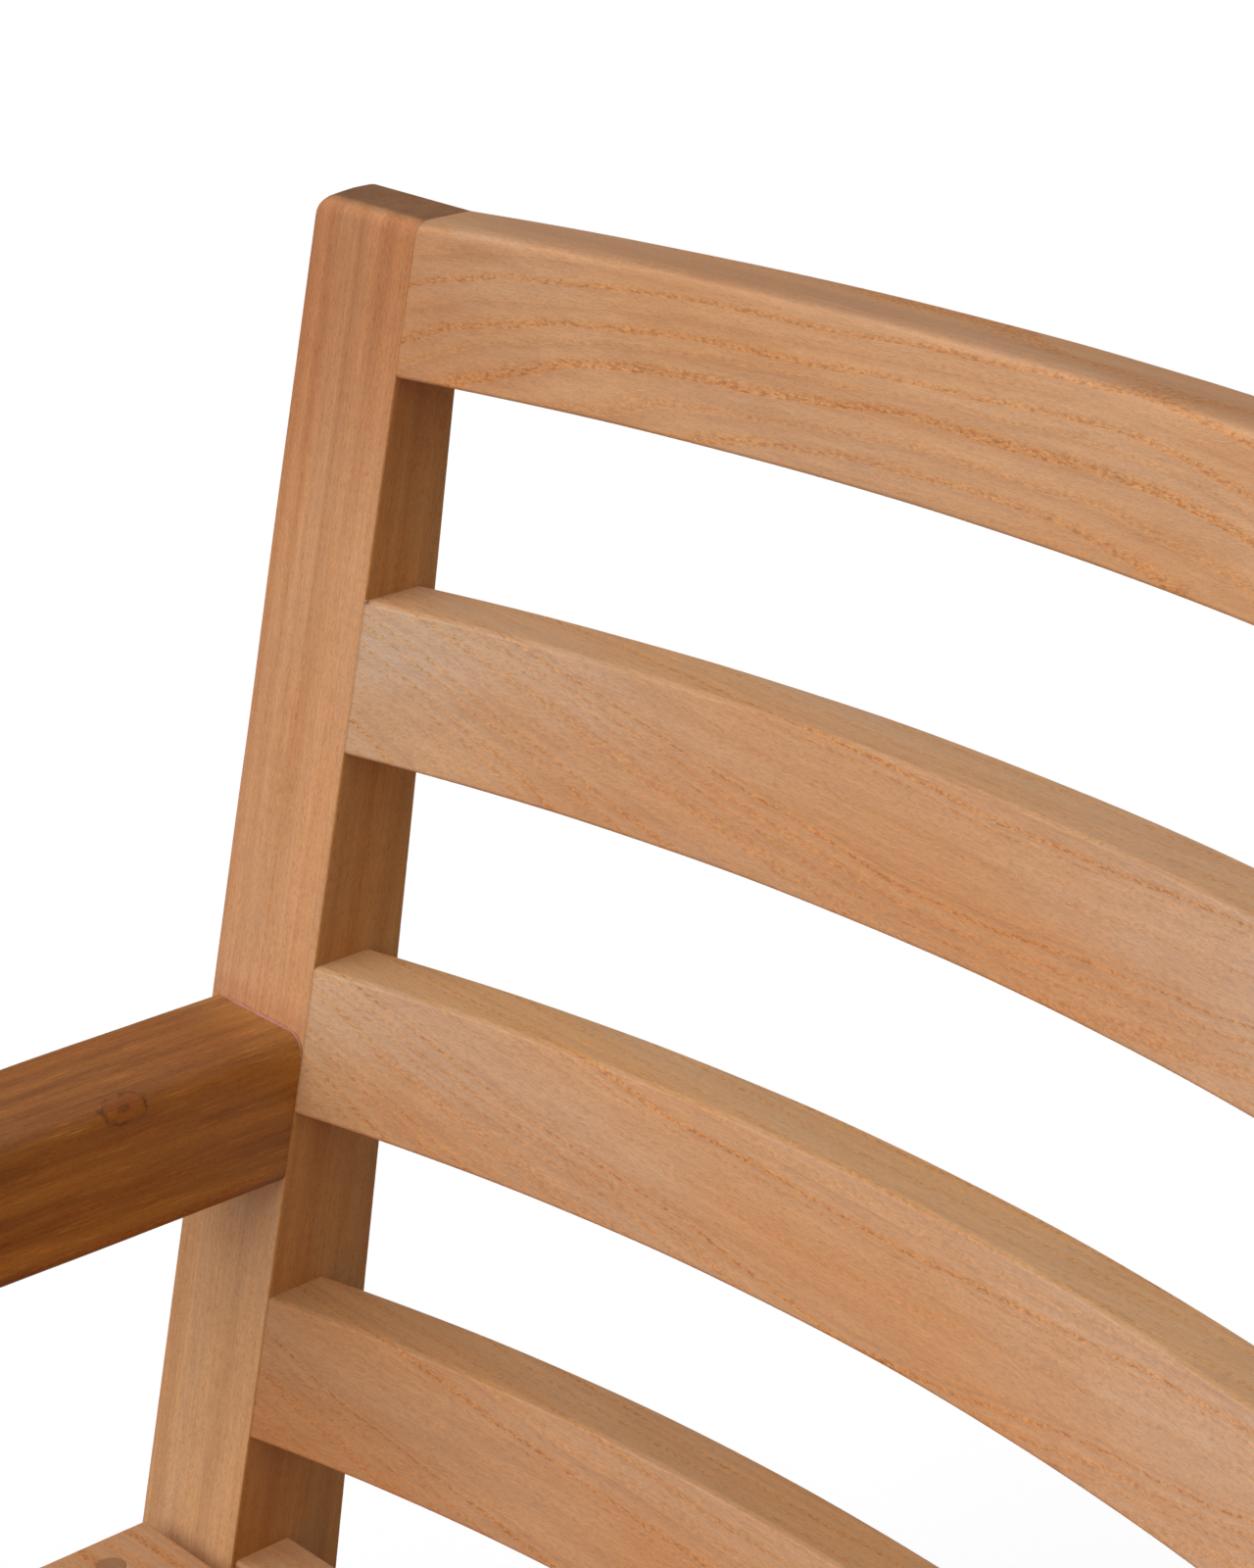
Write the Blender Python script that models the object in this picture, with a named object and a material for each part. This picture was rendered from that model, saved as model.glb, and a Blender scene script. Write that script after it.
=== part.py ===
"""Teak garden armchair with a raked, bowed ladder back, modelled as its separate timbers.

Every timber is sawn from the solid and joined with mortise and tenon. Each tenon is locked by a
dowel peg, and the seat slats are screwed down to the seat rails through counterbored holes.

Units are metres. The floor is z = 0, +Y points to the back of the chair, and +X points to the right
of someone who stands in front of it. "Left" and "right" in the names mean that person's left and right.
"""

import math

import bmesh
import bpy
from mathutils import Matrix, Vector

# Overall size
OVERALL_DEPTH = 0.620
TOP_Z = 0.915
CLEAR_WIDTH = 0.470
POST_WIDTH = 0.055

# Back: measures along the slope start at the top of the posts and are called drops
RAKE = math.radians(11.6)
BOW = 0.030
SLAT_THICKNESS = 0.025
RAIL_HEIGHT = 0.0533
SLAT_HEIGHT = 0.0547
SLAT_DROPS = {"back_slat_upper": 0.1304, "back_slat_middle": 0.2623, "back_slat_lower": 0.3864}

# Rear posts: the back face falls away from the front face going down, as far as the knee
POST_TOP_DEPTH = 0.0247
POST_TAPER = 0.0535
KNEE_Z = 0.330
KNEE_RADIUS = 0.350
LEG_SPLAY = math.radians(7.0)
FOOT_DEPTH = 0.045
POST_CORNER_RADIUS = 0.010

# Arms and front legs
ARM_DROP = 0.2883
ARM_HEIGHT = 0.053
ARM_OVERHANG = 0.035
ARM_EDGE_RADIUS = 0.006
ARM_CORNER_RADIUS = 0.012
LEG_DEPTH = 0.050

# Seat
SEAT_Z = 0.435
SEAT_SLAT_THICKNESS = 0.018
SEAT_SLAT_WIDTH = 0.054
SEAT_SLAT_GAP = 0.008
SEAT_SLAT_COUNT = 7
SEAT_HALF_WIDTH = 0.280
SEAT_END_CLEARANCE = 0.002
SEAT_RAIL_HEIGHT = 0.070
SEAT_RAIL_THICKNESS = 0.025
SEAT_OVERHANG = 0.001
FRONT_RAIL_SETBACK = 0.008
BEARER_WIDTH = 0.028
BEARER_HEIGHT = 0.040

# Joints
GAP = 0.0003
ROOT = 0.005
TENON_THICKNESS = 0.010
BACK_TENON_LENGTH = 0.018
BACK_TENON_SHOULDER = 0.009
TOP_TENON_SHOULDER = 0.014
SEAT_TENON_LENGTH = 0.020
SEAT_TENON_SHOULDER = 0.012
ARM_TENON_LENGTH = 0.022
ARM_TENON_WIDTH = 0.014
ARM_TENON_OFFSET = 0.005
ARM_TENON_SHOULDER = 0.0115
LEG_TENON_LENGTH = 0.030
LEG_TENON_WIDTH = 0.025
LEG_TENON_DEPTH = 0.020
STUB_TENON_LENGTH = 0.010
STUB_TENON_WIDTH = 0.012
STUB_TENON_SHOULDER = 0.008
PEG_RADIUS = 0.004
PEG_PAST_TENON = 0.003

# Seat fixings
COUNTERBORE_RADIUS = 0.0053
COUNTERBORE_DEPTH = 0.0090
SCREW_HEAD_RADIUS = 0.0042
SCREW_HEAD_HEIGHT = 0.0030
SCREW_RADIUS = 0.0020
SCREW_LENGTH = 0.026
SCREW_POINT = 0.004
FRONT_SLAT_SCREW_X = 0.190

# Finish
EDGE_RADIUS = 0.0025
ROUND_SIDES = 12
BACK_STATIONS = 20
SHARP_ANGLE = math.radians(30.0)
ALONG = 0.9  # least share of a direction for an edge that counts as running along an axis
LEFT = -1
RIGHT = 1
SIDE_NAMES = {LEFT: "left", RIGHT: "right"}

TEAK_POST = (0.56, 0.30, 0.13)
TEAK_BACK = (0.58, 0.33, 0.17)
TEAK_ARM = (0.34, 0.18, 0.09)
TEAK_SEAT = (0.50, 0.29, 0.15)
TEAK_PEG = (0.42, 0.23, 0.11)
STAINLESS = (0.62, 0.61, 0.59)
TEAK_ROUGHNESS = 0.62
STAINLESS_ROUGHNESS = 0.35

# Worked out from the sizes above
INNER = CLEAR_WIDTH / 2
OUTER = INNER + POST_WIDTH
POST_MIDDLE = INNER + POST_WIDTH / 2
BACK_TOP_Y = OVERALL_DEPTH / 2 - BOW - SLAT_THICKNESS
ARM_FRONT_Y = -OVERALL_DEPTH / 2
ARM_TOP_Z = TOP_Z - ARM_DROP * math.cos(RAKE)
ARM_BOTTOM_Z = ARM_TOP_Z - ARM_HEIGHT
LEG_FRONT_Y = ARM_FRONT_Y + ARM_OVERHANG
LEG_BACK_Y = LEG_FRONT_Y + LEG_DEPTH
LEG_MIDDLE_Y = LEG_FRONT_Y + LEG_DEPTH / 2
SLAT_UNDERSIDE_Z = SEAT_Z - SEAT_SLAT_THICKNESS
RAIL_TOP_Z = SLAT_UNDERSIDE_Z - GAP
RAIL_BOTTOM_Z = RAIL_TOP_Z - SEAT_RAIL_HEIGHT
FRONT_RAIL_Y = LEG_FRONT_Y + FRONT_RAIL_SETBACK
SEAT_FRONT_Y = LEG_FRONT_Y - SEAT_OVERHANG
SEAT_PITCH = SEAT_SLAT_WIDTH + SEAT_SLAT_GAP
REAR_RAIL_Y = SEAT_FRONT_Y + SEAT_SLAT_COUNT * SEAT_PITCH
ARM_TENON_X = POST_MIDDLE + ARM_TENON_OFFSET
BACK_FACE_SLOPE = math.atan((math.sin(RAKE) - POST_TAPER) / math.cos(RAKE))
BACK_FACE_NORMAL = Vector((0.0, math.cos(BACK_FACE_SLOPE), -math.sin(BACK_FACE_SLOPE)))


def clear_scene():
    for obj in list(bpy.data.objects):
        bpy.data.objects.remove(obj, do_unlink=True)


def principled(name, colour, roughness, metallic):
    material = bpy.data.materials.new(name)
    material.use_nodes = True
    shader = material.node_tree.nodes["Principled BSDF"]
    shader.inputs["Base Color"].default_value = (*colour, 1.0)
    shader.inputs["Roughness"].default_value = roughness
    shader.inputs["Metallic"].default_value = metallic
    material.diffuse_color = (*colour, 1.0)
    return material


def teak(name, colour):
    return principled(name + "_teak", colour, TEAK_ROUGHNESS, 0.0)


# Places on the back of the chair


def post_front_y(z):
    """Y of the posts' front face at a height above the knee."""
    return BACK_TOP_Y - (TOP_Z - z) * math.tan(RAKE)


def slope_point(drop, behind):
    """(y, z) of the point that lies a drop down the posts' front face, and level behind it."""
    return (BACK_TOP_Y - drop * math.sin(RAKE) + behind, TOP_Z - drop * math.cos(RAKE))


def post_depth(drop):
    """Level distance between the posts' front and back faces."""
    return POST_TOP_DEPTH + POST_TAPER * drop


def bow_at(x):
    """How far the slats and the top rail stand behind the posts' front face."""
    return BOW * (1.0 - (x / INNER) ** 2)


# Solids


def add_prism(bm, outline, x_low, x_high):
    """Adds a (y, z) outline, extruded along X."""
    near = [bm.verts.new((x_low, y, z)) for y, z in outline]
    far = [bm.verts.new((x_high, y, z)) for y, z in outline]
    count = len(outline)
    bm.faces.new(near)
    bm.faces.new(far)
    for i in range(count):
        after = (i + 1) % count
        bm.faces.new((near[i], near[after], far[after], far[i]))


def raked_block(x, drop, behind, grow=0.0):
    """A block whose front and back follow the slope of the posts. Each size is a (low, high) pair."""
    drop_low, drop_high = drop[0] - grow, drop[1] + grow
    front, back = behind[0] - grow, behind[1] + grow
    outline = [
        slope_point(drop_low, front),
        slope_point(drop_high, front),
        slope_point(drop_high, back),
        slope_point(drop_low, back),
    ]
    return outline, min(x) - grow, max(x) + grow


def square_block(x, y, z, grow=0.0):
    """A block square to the floor. Each size is a (low, high) pair."""
    y_low, y_high = y[0] - grow, y[1] + grow
    z_low, z_high = z[0] - grow, z[1] + grow
    outline = [(y_low, z_low), (y_high, z_low), (y_high, z_high), (y_low, z_high)]
    return outline, min(x) - grow, max(x) + grow


def add_rod(bm, start, end, radius):
    """Adds a round rod from one point to another."""
    way = end - start
    turn = Vector((0.0, 0.0, 1.0)).rotation_difference(way).to_matrix().to_4x4()
    bmesh.ops.create_cone(
        bm,
        cap_ends=True,
        segments=ROUND_SIDES,
        radius1=radius,
        radius2=radius,
        depth=way.length,
        matrix=Matrix.Translation((start + end) / 2) @ turn,
    )


def add_turned(bm, x, y, profile):
    """Adds a closed body turned about a vertical axis. The profile is (radius, z) from top to bottom."""
    rings = []
    for radius, z in profile:
        if radius == 0.0:
            rings.append([bm.verts.new((x, y, z))] * ROUND_SIDES)
            continue
        angles = [2 * math.pi * i / ROUND_SIDES for i in range(ROUND_SIDES)]
        places = [(x + radius * math.cos(a), y + radius * math.sin(a), z) for a in angles]
        rings.append([bm.verts.new(place) for place in places])
    for upper, lower in zip(rings, rings[1:]):
        for i in range(ROUND_SIDES):
            after = (i + 1) % ROUND_SIDES
            corners = [upper[i], upper[after], lower[after], lower[i]]
            bm.faces.new(list(dict.fromkeys(corners)))


def fillet(before, corner, after, radius, steps=6):
    """Points of the arc that rounds the corner of an outline."""
    corner = Vector(corner)
    back = (Vector(before) - corner).normalized()
    forward = (Vector(after) - corner).normalized()
    half = back.angle(forward) / 2
    reach = radius / math.tan(half)
    centre = corner + (back + forward).normalized() * (radius / math.sin(half))
    start = corner + back * reach - centre
    end = corner + forward * reach - centre
    sweep = start.angle_signed(end)
    return [tuple(centre + Matrix.Rotation(-sweep * i / steps, 2) @ start) for i in range(steps + 1)]


def soften(bm, radius, segments, chosen):
    """Rounds the sharp edges for which chosen(middle, direction) is true."""
    edges = []
    for edge in bm.edges:
        a, b = (vert.co for vert in edge.verts)
        if edge.calc_face_angle() > SHARP_ANGLE and chosen((a + b) / 2, (b - a).normalized()):
            edges.append(edge)
    bmesh.ops.bevel(bm, geom=edges, offset=radius, segments=segments, profile=0.5, affect="EDGES")


def finished(name, bm, material):
    """Turns a bmesh into an object that is shaded smooth where its faces meet gently."""
    bmesh.ops.recalc_face_normals(bm, faces=bm.faces)
    mesh = bpy.data.meshes.new(name)
    bm.to_mesh(mesh)
    bm.free()
    mesh.materials.append(material)
    mesh.shade_smooth()
    mesh.set_sharp_from_angle(angle=SHARP_ANGLE)
    obj = bpy.data.objects.new(name, mesh)
    bpy.context.scene.collection.objects.link(obj)
    return obj


def combine(target, bm, operation):
    """Joins the bodies in a bmesh to an object, or cuts them out of it."""
    bmesh.ops.recalc_face_normals(bm, faces=bm.faces)
    name = f"{target.name}_{operation.lower()}_{len(target.modifiers)}"
    mesh = bpy.data.meshes.new(name)
    bm.to_mesh(mesh)
    bm.free()
    helper = bpy.data.objects.new(name, mesh)
    helper.hide_render = True
    helper.display_type = "WIRE"
    bpy.context.scene.collection.objects.link(helper)
    modifier = target.modifiers.new(operation.title(), "BOOLEAN")
    modifier.object = helper
    modifier.operation = operation
    modifier.solver = "EXACT"


def joinery(target, tenons=(), mortises=(), peg_holes=(), screw_places=()):
    """Adds the tenons to a timber, then cuts its mortises, its peg holes and its screw holes."""
    for blocks, operation in ((tenons, "UNION"), (mortises, "DIFFERENCE")):
        if blocks:
            bm = bmesh.new()
            for outline, x_low, x_high in blocks:
                add_prism(bm, outline, x_low, x_high)
            combine(target, bm, operation)
    if peg_holes:
        bm = bmesh.new()
        for start, end in peg_holes:
            way = (end - start).normalized()
            add_rod(bm, start - way * GAP, end + way * ROOT, PEG_RADIUS + GAP)
        combine(target, bm, "DIFFERENCE")
    if screw_places:
        bm = bmesh.new()
        for x, y in screw_places:
            add_turned(bm, x, y, screw_hole_profile())
        combine(target, bm, "DIFFERENCE")


# Tenons. Each function gives the tenon itself, or with grow its mortise


def back_members():
    """Name, drop, height and upper tenon shoulder of the top rail and of each back slat."""
    members = [("top_rail", 0.0, RAIL_HEIGHT, TOP_TENON_SHOULDER)]
    for name, drop in SLAT_DROPS.items():
        members.append((name, drop, SLAT_HEIGHT, BACK_TENON_SHOULDER))
    return members


def back_tenon(side, member, grow=0.0):
    _, drop, height, shoulder = member
    x = (side * (INNER - ROOT), side * (INNER + BACK_TENON_LENGTH))
    middle = SLAT_THICKNESS / 2
    thickness = (middle - TENON_THICKNESS / 2, middle + TENON_THICKNESS / 2)
    return raked_block(x, (drop + shoulder, drop + height - BACK_TENON_SHOULDER), thickness, grow)


def arm_tenon(side, grow=0.0):
    z = (ARM_BOTTOM_Z + ARM_TENON_SHOULDER, ARM_TOP_Z - ARM_TENON_SHOULDER)
    y = (post_front_y(z[0]) - ROOT, post_front_y(z[1]) + ARM_TENON_LENGTH)
    x = [side * (ARM_TENON_X + half) for half in (-ARM_TENON_WIDTH / 2, ARM_TENON_WIDTH / 2)]
    return square_block(x, y, z, grow)


def leg_tenon(side, grow=0.0):
    x = [side * (POST_MIDDLE + half) for half in (-LEG_TENON_WIDTH / 2, LEG_TENON_WIDTH / 2)]
    y = (LEG_MIDDLE_Y - LEG_TENON_DEPTH / 2, LEG_MIDDLE_Y + LEG_TENON_DEPTH / 2)
    return square_block(x, y, (ARM_BOTTOM_Z - ROOT, ARM_BOTTOM_Z + LEG_TENON_LENGTH), grow)


def seat_tenon_z():
    return (RAIL_BOTTOM_Z + SEAT_TENON_SHOULDER, RAIL_TOP_Z - SEAT_TENON_SHOULDER)


def cross_rail_tenon(side, rail_y, grow=0.0):
    """Tenon of the front or the rear seat rail."""
    x = (side * (INNER - ROOT), side * (INNER + SEAT_TENON_LENGTH))
    middle = rail_y + SEAT_RAIL_THICKNESS / 2
    y = (middle - TENON_THICKNESS / 2, middle + TENON_THICKNESS / 2)
    return square_block(x, y, seat_tenon_z(), grow)


def side_rail_tenon_x(side):
    return [side * (POST_MIDDLE + half) for half in (-TENON_THICKNESS / 2, TENON_THICKNESS / 2)]


def side_rail_front_tenon(side, grow=0.0):
    y = (LEG_BACK_Y - SEAT_TENON_LENGTH, LEG_BACK_Y + ROOT)
    return square_block(side_rail_tenon_x(side), y, seat_tenon_z(), grow)


def side_rail_rear_tenon(side, grow=0.0):
    z = seat_tenon_z()
    y = (post_front_y(z[0]) - ROOT, post_front_y(z[1]) + SEAT_TENON_LENGTH)
    return square_block(side_rail_tenon_x(side), y, z, grow)


def bearer_tenon(shoulder_y, end_y, grow=0.0):
    root_y = shoulder_y + math.copysign(ROOT, shoulder_y - end_y)
    x = (-STUB_TENON_WIDTH / 2, STUB_TENON_WIDTH / 2)
    z = (RAIL_TOP_Z - BEARER_HEIGHT + STUB_TENON_SHOULDER, RAIL_TOP_Z - STUB_TENON_SHOULDER)
    return square_block(x, (min(root_y, end_y), max(root_y, end_y)), z, grow)


def bearer_tenons(grow=0.0):
    front_face = FRONT_RAIL_Y + SEAT_RAIL_THICKNESS
    return (
        bearer_tenon(front_face, front_face - STUB_TENON_LENGTH, grow),
        bearer_tenon(REAR_RAIL_Y, REAR_RAIL_Y + STUB_TENON_LENGTH, grow),
    )


# Pegs. Each one is a pair of points: its blind end, and its end flush with the timber's face


def back_face_peg(x, y, z, half_tenon):
    """A peg driven square into a post's back face, through the middle of a tenon."""
    middle = Vector((x, y, z))
    drop = (TOP_Z - z) / math.cos(RAKE)
    face = Vector((x, post_front_y(z) + post_depth(drop), z))
    reach = (face - middle).dot(BACK_FACE_NORMAL)
    past = BACK_FACE_NORMAL * (half_tenon + PEG_PAST_TENON)
    return middle - past, middle + BACK_FACE_NORMAL * reach


def back_peg(side, member):
    _, drop, height, shoulder = member
    middle_drop = drop + (shoulder + height - BACK_TENON_SHOULDER) / 2
    y, z = slope_point(middle_drop, SLAT_THICKNESS / 2)
    return back_face_peg(side * (INNER + BACK_TENON_LENGTH / 2), y, z, TENON_THICKNESS / 2)


def side_peg(side, inner_x, y, z):
    """A peg driven in from the outer side of the chair."""
    return Vector((side * inner_x, y, z)), Vector((side * OUTER, y, z))


def arm_rear_peg(side):
    z = (ARM_TOP_Z + ARM_BOTTOM_Z) / 2
    inner_x = ARM_TENON_X - ARM_TENON_WIDTH / 2 - PEG_PAST_TENON
    return side_peg(side, inner_x, post_front_y(z) + ARM_TENON_LENGTH / 2, z)


def arm_front_peg(side):
    inner_x = POST_MIDDLE - LEG_TENON_WIDTH / 2 - PEG_PAST_TENON
    return side_peg(side, inner_x, LEG_MIDDLE_Y, ARM_BOTTOM_Z + LEG_TENON_LENGTH / 2)


def side_rail_pegs(side):
    z = sum(seat_tenon_z()) / 2
    inner_x = POST_MIDDLE - TENON_THICKNESS / 2 - PEG_PAST_TENON
    half_length = SEAT_TENON_LENGTH / 2
    return (
        side_peg(side, inner_x, LEG_BACK_Y - half_length, z),
        side_peg(side, inner_x, post_front_y(z) + half_length, z),
    )


def front_rail_peg(side):
    x = side * (INNER + SEAT_TENON_LENGTH / 2)
    z = sum(seat_tenon_z()) / 2
    tenon_back = FRONT_RAIL_Y + SEAT_RAIL_THICKNESS / 2 + TENON_THICKNESS / 2
    return Vector((x, tenon_back + PEG_PAST_TENON, z)), Vector((x, LEG_FRONT_Y, z))


def rear_rail_peg(side):
    x = side * (INNER + SEAT_TENON_LENGTH / 2)
    y = REAR_RAIL_Y + SEAT_RAIL_THICKNESS / 2
    return back_face_peg(x, y, sum(seat_tenon_z()) / 2, TENON_THICKNESS / 2)


# Seat fixings


def screw_hole_profile():
    """Counterbore, clearance hole and blind end, from above the seat down."""
    floor = SEAT_Z - COUNTERBORE_DEPTH
    tip = floor - SCREW_LENGTH
    return [
        (0.0, SEAT_Z + ROOT),
        (COUNTERBORE_RADIUS, SEAT_Z + ROOT),
        (COUNTERBORE_RADIUS, floor),
        (SCREW_RADIUS + GAP, floor),
        (SCREW_RADIUS + GAP, tip - GAP),
        (0.0, tip - GAP),
    ]


def screw_profile():
    seat = SEAT_Z - COUNTERBORE_DEPTH + GAP
    tip = seat - SCREW_LENGTH
    return [
        (0.0, seat + SCREW_HEAD_HEIGHT),
        (SCREW_HEAD_RADIUS, seat + SCREW_HEAD_HEIGHT),
        (SCREW_HEAD_RADIUS, seat),
        (SCREW_RADIUS, seat),
        (SCREW_RADIUS, tip + SCREW_POINT),
        (0.0, tip),
    ]


def seat_slat_y(index):
    """Front edge of a seat slat. Slat 1 is the front one."""
    return SEAT_FRONT_Y + (index - 1) * SEAT_PITCH


def slat_screw(side, index):
    """(x, y) of the screw at one end of a seat slat. The front slat is fixed to the front rail."""
    if index == 1:
        return side * FRONT_SLAT_SCREW_X, FRONT_RAIL_Y + SEAT_RAIL_THICKNESS / 2
    return side * POST_MIDDLE, seat_slat_y(index) + SEAT_SLAT_WIDTH / 2


# Timbers


def rear_post_outline():
    """Side view of a one-piece rear post and leg, with its knee rounded front and back."""
    knee_drop = (TOP_Z - KNEE_Z) / math.cos(RAKE)
    front_top = slope_point(0.0, 0.0)
    front_knee = slope_point(knee_drop, 0.0)
    front_foot = (front_knee[0] + KNEE_Z * math.tan(LEG_SPLAY), 0.0)
    back_foot = (front_foot[0] + FOOT_DEPTH, 0.0)
    back_knee = slope_point(knee_drop, post_depth(knee_drop))
    back_top = slope_point(0.0, POST_TOP_DEPTH)
    front_arc = fillet(front_top, front_knee, front_foot, KNEE_RADIUS)
    back_arc = fillet(back_foot, back_knee, back_top, KNEE_RADIUS)
    return [front_top, *front_arc, front_foot, back_foot, *back_arc, back_top]


def make_rear_post(side):
    bm = bmesh.new()
    add_prism(bm, rear_post_outline(), min(side * INNER, side * OUTER), max(side * INNER, side * OUTER))

    def is_outer_top(middle, way):
        return abs(way.y) > ALONG and middle.z > TOP_Z - GAP and side * middle.x > POST_MIDDLE

    bmesh.ops.recalc_face_normals(bm, faces=bm.faces)
    soften(bm, POST_CORNER_RADIUS, 4, is_outer_top)
    soften(bm, EDGE_RADIUS, 2, lambda middle, way: True)
    name = "rear_post_" + SIDE_NAMES[side]
    post = finished(name, bm, teak(name, TEAK_POST))
    mortises = [back_tenon(side, member, GAP) for member in back_members()]
    mortises += [arm_tenon(side, GAP), side_rail_rear_tenon(side, GAP)]
    mortises += [cross_rail_tenon(side, REAR_RAIL_Y, GAP)]
    pegs = [back_peg(side, member) for member in back_members()]
    pegs += [arm_rear_peg(side), side_rail_pegs(side)[1], rear_rail_peg(side)]
    joinery(post, mortises=mortises, peg_holes=pegs)


def make_back_member(member):
    """Top rail or back slat: level in section, raked like the posts and bowed to the back."""
    name, drop, height, _ = member
    bm = bmesh.new()
    half = INNER - GAP
    stations = [half * (2 * i / BACK_STATIONS - 1) for i in range(BACK_STATIONS + 1)]
    rings = []
    for x in stations:
        outline, _, _ = raked_block((x, x), (drop, drop + height), (bow_at(x), bow_at(x) + SLAT_THICKNESS))
        rings.append([bm.verts.new((x, y, z)) for y, z in outline])
    bm.faces.new(rings[0])
    bm.faces.new(rings[-1])
    for left, right in zip(rings, rings[1:]):
        for i in range(4):
            after = (i + 1) % 4
            bm.faces.new((left[i], left[after], right[after], right[i]))
    bmesh.ops.recalc_face_normals(bm, faces=bm.faces)
    soften(bm, EDGE_RADIUS, 2, lambda middle, way: abs(way.x) > ALONG)
    timber = finished(name, bm, teak(name, TEAK_BACK))
    tenons = [back_tenon(side, member) for side in (LEFT, RIGHT)]
    joinery(timber, tenons=tenons, peg_holes=[back_peg(side, member) for side in (LEFT, RIGHT)])


def make_arm(side):
    bm = bmesh.new()
    outline = [
        (ARM_FRONT_Y, ARM_BOTTOM_Z),
        (post_front_y(ARM_BOTTOM_Z) - GAP, ARM_BOTTOM_Z),
        (post_front_y(ARM_TOP_Z) - GAP, ARM_TOP_Z),
        (ARM_FRONT_Y, ARM_TOP_Z),
    ]
    add_prism(bm, outline, min(side * INNER, side * OUTER), max(side * INNER, side * OUTER))
    bmesh.ops.recalc_face_normals(bm, faces=bm.faces)
    soften(bm, ARM_CORNER_RADIUS, 4, lambda middle, way: abs(way.z) > ALONG and middle.y < LEG_FRONT_Y)
    soften(bm, ARM_EDGE_RADIUS, 3, is_arm_top_edge)
    soften(bm, EDGE_RADIUS, 2, is_arm_bottom_edge)
    name = "arm_" + SIDE_NAMES[side]
    arm = finished(name, bm, teak(name, TEAK_ARM))
    pegs = [arm_rear_peg(side), arm_front_peg(side)]
    joinery(arm, tenons=[arm_tenon(side)], mortises=[leg_tenon(side, GAP)], peg_holes=pegs)


def is_arm_top_edge(middle, way):
    return middle.z > ARM_TOP_Z - GAP and not on_post(middle, way)


def is_arm_bottom_edge(middle, way):
    return middle.z < ARM_BOTTOM_Z + GAP and not on_post(middle, way)


def on_post(middle, way):
    """True for the edges of an end that butts against a rear post."""
    return middle.y > 0.0 and abs(way.y) < ALONG


def make_front_leg(side):
    bm = bmesh.new()
    top = ARM_BOTTOM_Z - GAP
    outline = [(LEG_FRONT_Y, 0.0), (LEG_BACK_Y, 0.0), (LEG_BACK_Y, top), (LEG_FRONT_Y, top)]
    add_prism(bm, outline, min(side * INNER, side * OUTER), max(side * INNER, side * OUTER))
    bmesh.ops.recalc_face_normals(bm, faces=bm.faces)
    soften(bm, EDGE_RADIUS, 2, lambda middle, way: middle.z < SEAT_Z)
    name = "front_leg_" + SIDE_NAMES[side]
    leg = finished(name, bm, teak(name, TEAK_POST))
    mortises = [cross_rail_tenon(side, FRONT_RAIL_Y, GAP), side_rail_front_tenon(side, GAP)]
    pegs = [arm_front_peg(side), front_rail_peg(side), side_rail_pegs(side)[0]]
    joinery(leg, tenons=[leg_tenon(side)], mortises=mortises, peg_holes=pegs)


def make_cross_rail(name, y, top_z, bearer_mortise, pegs, screw_places):
    """Front or rear seat rail, from leg to leg."""
    bm = bmesh.new()
    back = y + SEAT_RAIL_THICKNESS
    outline = [(y, RAIL_BOTTOM_Z), (back, RAIL_BOTTOM_Z), (back, top_z), (y, top_z)]
    add_prism(bm, outline, GAP - INNER, INNER - GAP)
    bmesh.ops.recalc_face_normals(bm, faces=bm.faces)
    soften(bm, EDGE_RADIUS, 2, lambda middle, way: abs(way.x) > ALONG)
    rail = finished(name, bm, teak(name, TEAK_SEAT))
    tenons = [cross_rail_tenon(side, y) for side in (LEFT, RIGHT)]
    joinery(rail, tenons=tenons, mortises=[bearer_mortise], peg_holes=pegs, screw_places=screw_places)


def make_side_rail(side):
    bm = bmesh.new()
    outline = [
        (LEG_BACK_Y + GAP, RAIL_BOTTOM_Z),
        (post_front_y(RAIL_BOTTOM_Z) - GAP, RAIL_BOTTOM_Z),
        (post_front_y(RAIL_TOP_Z) - GAP, RAIL_TOP_Z),
        (LEG_BACK_Y + GAP, RAIL_TOP_Z),
    ]
    half = SEAT_RAIL_THICKNESS / 2
    add_prism(bm, outline, side * POST_MIDDLE - half, side * POST_MIDDLE + half)
    bmesh.ops.recalc_face_normals(bm, faces=bm.faces)
    soften(bm, EDGE_RADIUS, 2, lambda middle, way: abs(way.y) > ALONG)
    name = "side_seat_rail_" + SIDE_NAMES[side]
    rail = finished(name, bm, teak(name, TEAK_SEAT))
    tenons = [side_rail_front_tenon(side), side_rail_rear_tenon(side)]
    screws = [slat_screw(side, index) for index in range(2, SEAT_SLAT_COUNT + 1)]
    joinery(rail, tenons=tenons, peg_holes=side_rail_pegs(side), screw_places=screws)


def make_seat_bearer():
    bm = bmesh.new()
    y_low = FRONT_RAIL_Y + SEAT_RAIL_THICKNESS + GAP
    y_high = REAR_RAIL_Y - GAP
    outline, x_low, x_high = square_block(
        (-BEARER_WIDTH / 2, BEARER_WIDTH / 2), (y_low, y_high), (RAIL_TOP_Z - BEARER_HEIGHT, RAIL_TOP_Z)
    )
    add_prism(bm, outline, x_low, x_high)
    bmesh.ops.recalc_face_normals(bm, faces=bm.faces)
    soften(bm, EDGE_RADIUS, 2, lambda middle, way: abs(way.y) > ALONG)
    bearer = finished("seat_bearer", bm, teak("seat_bearer", TEAK_SEAT))
    joinery(bearer, tenons=bearer_tenons())


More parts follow.
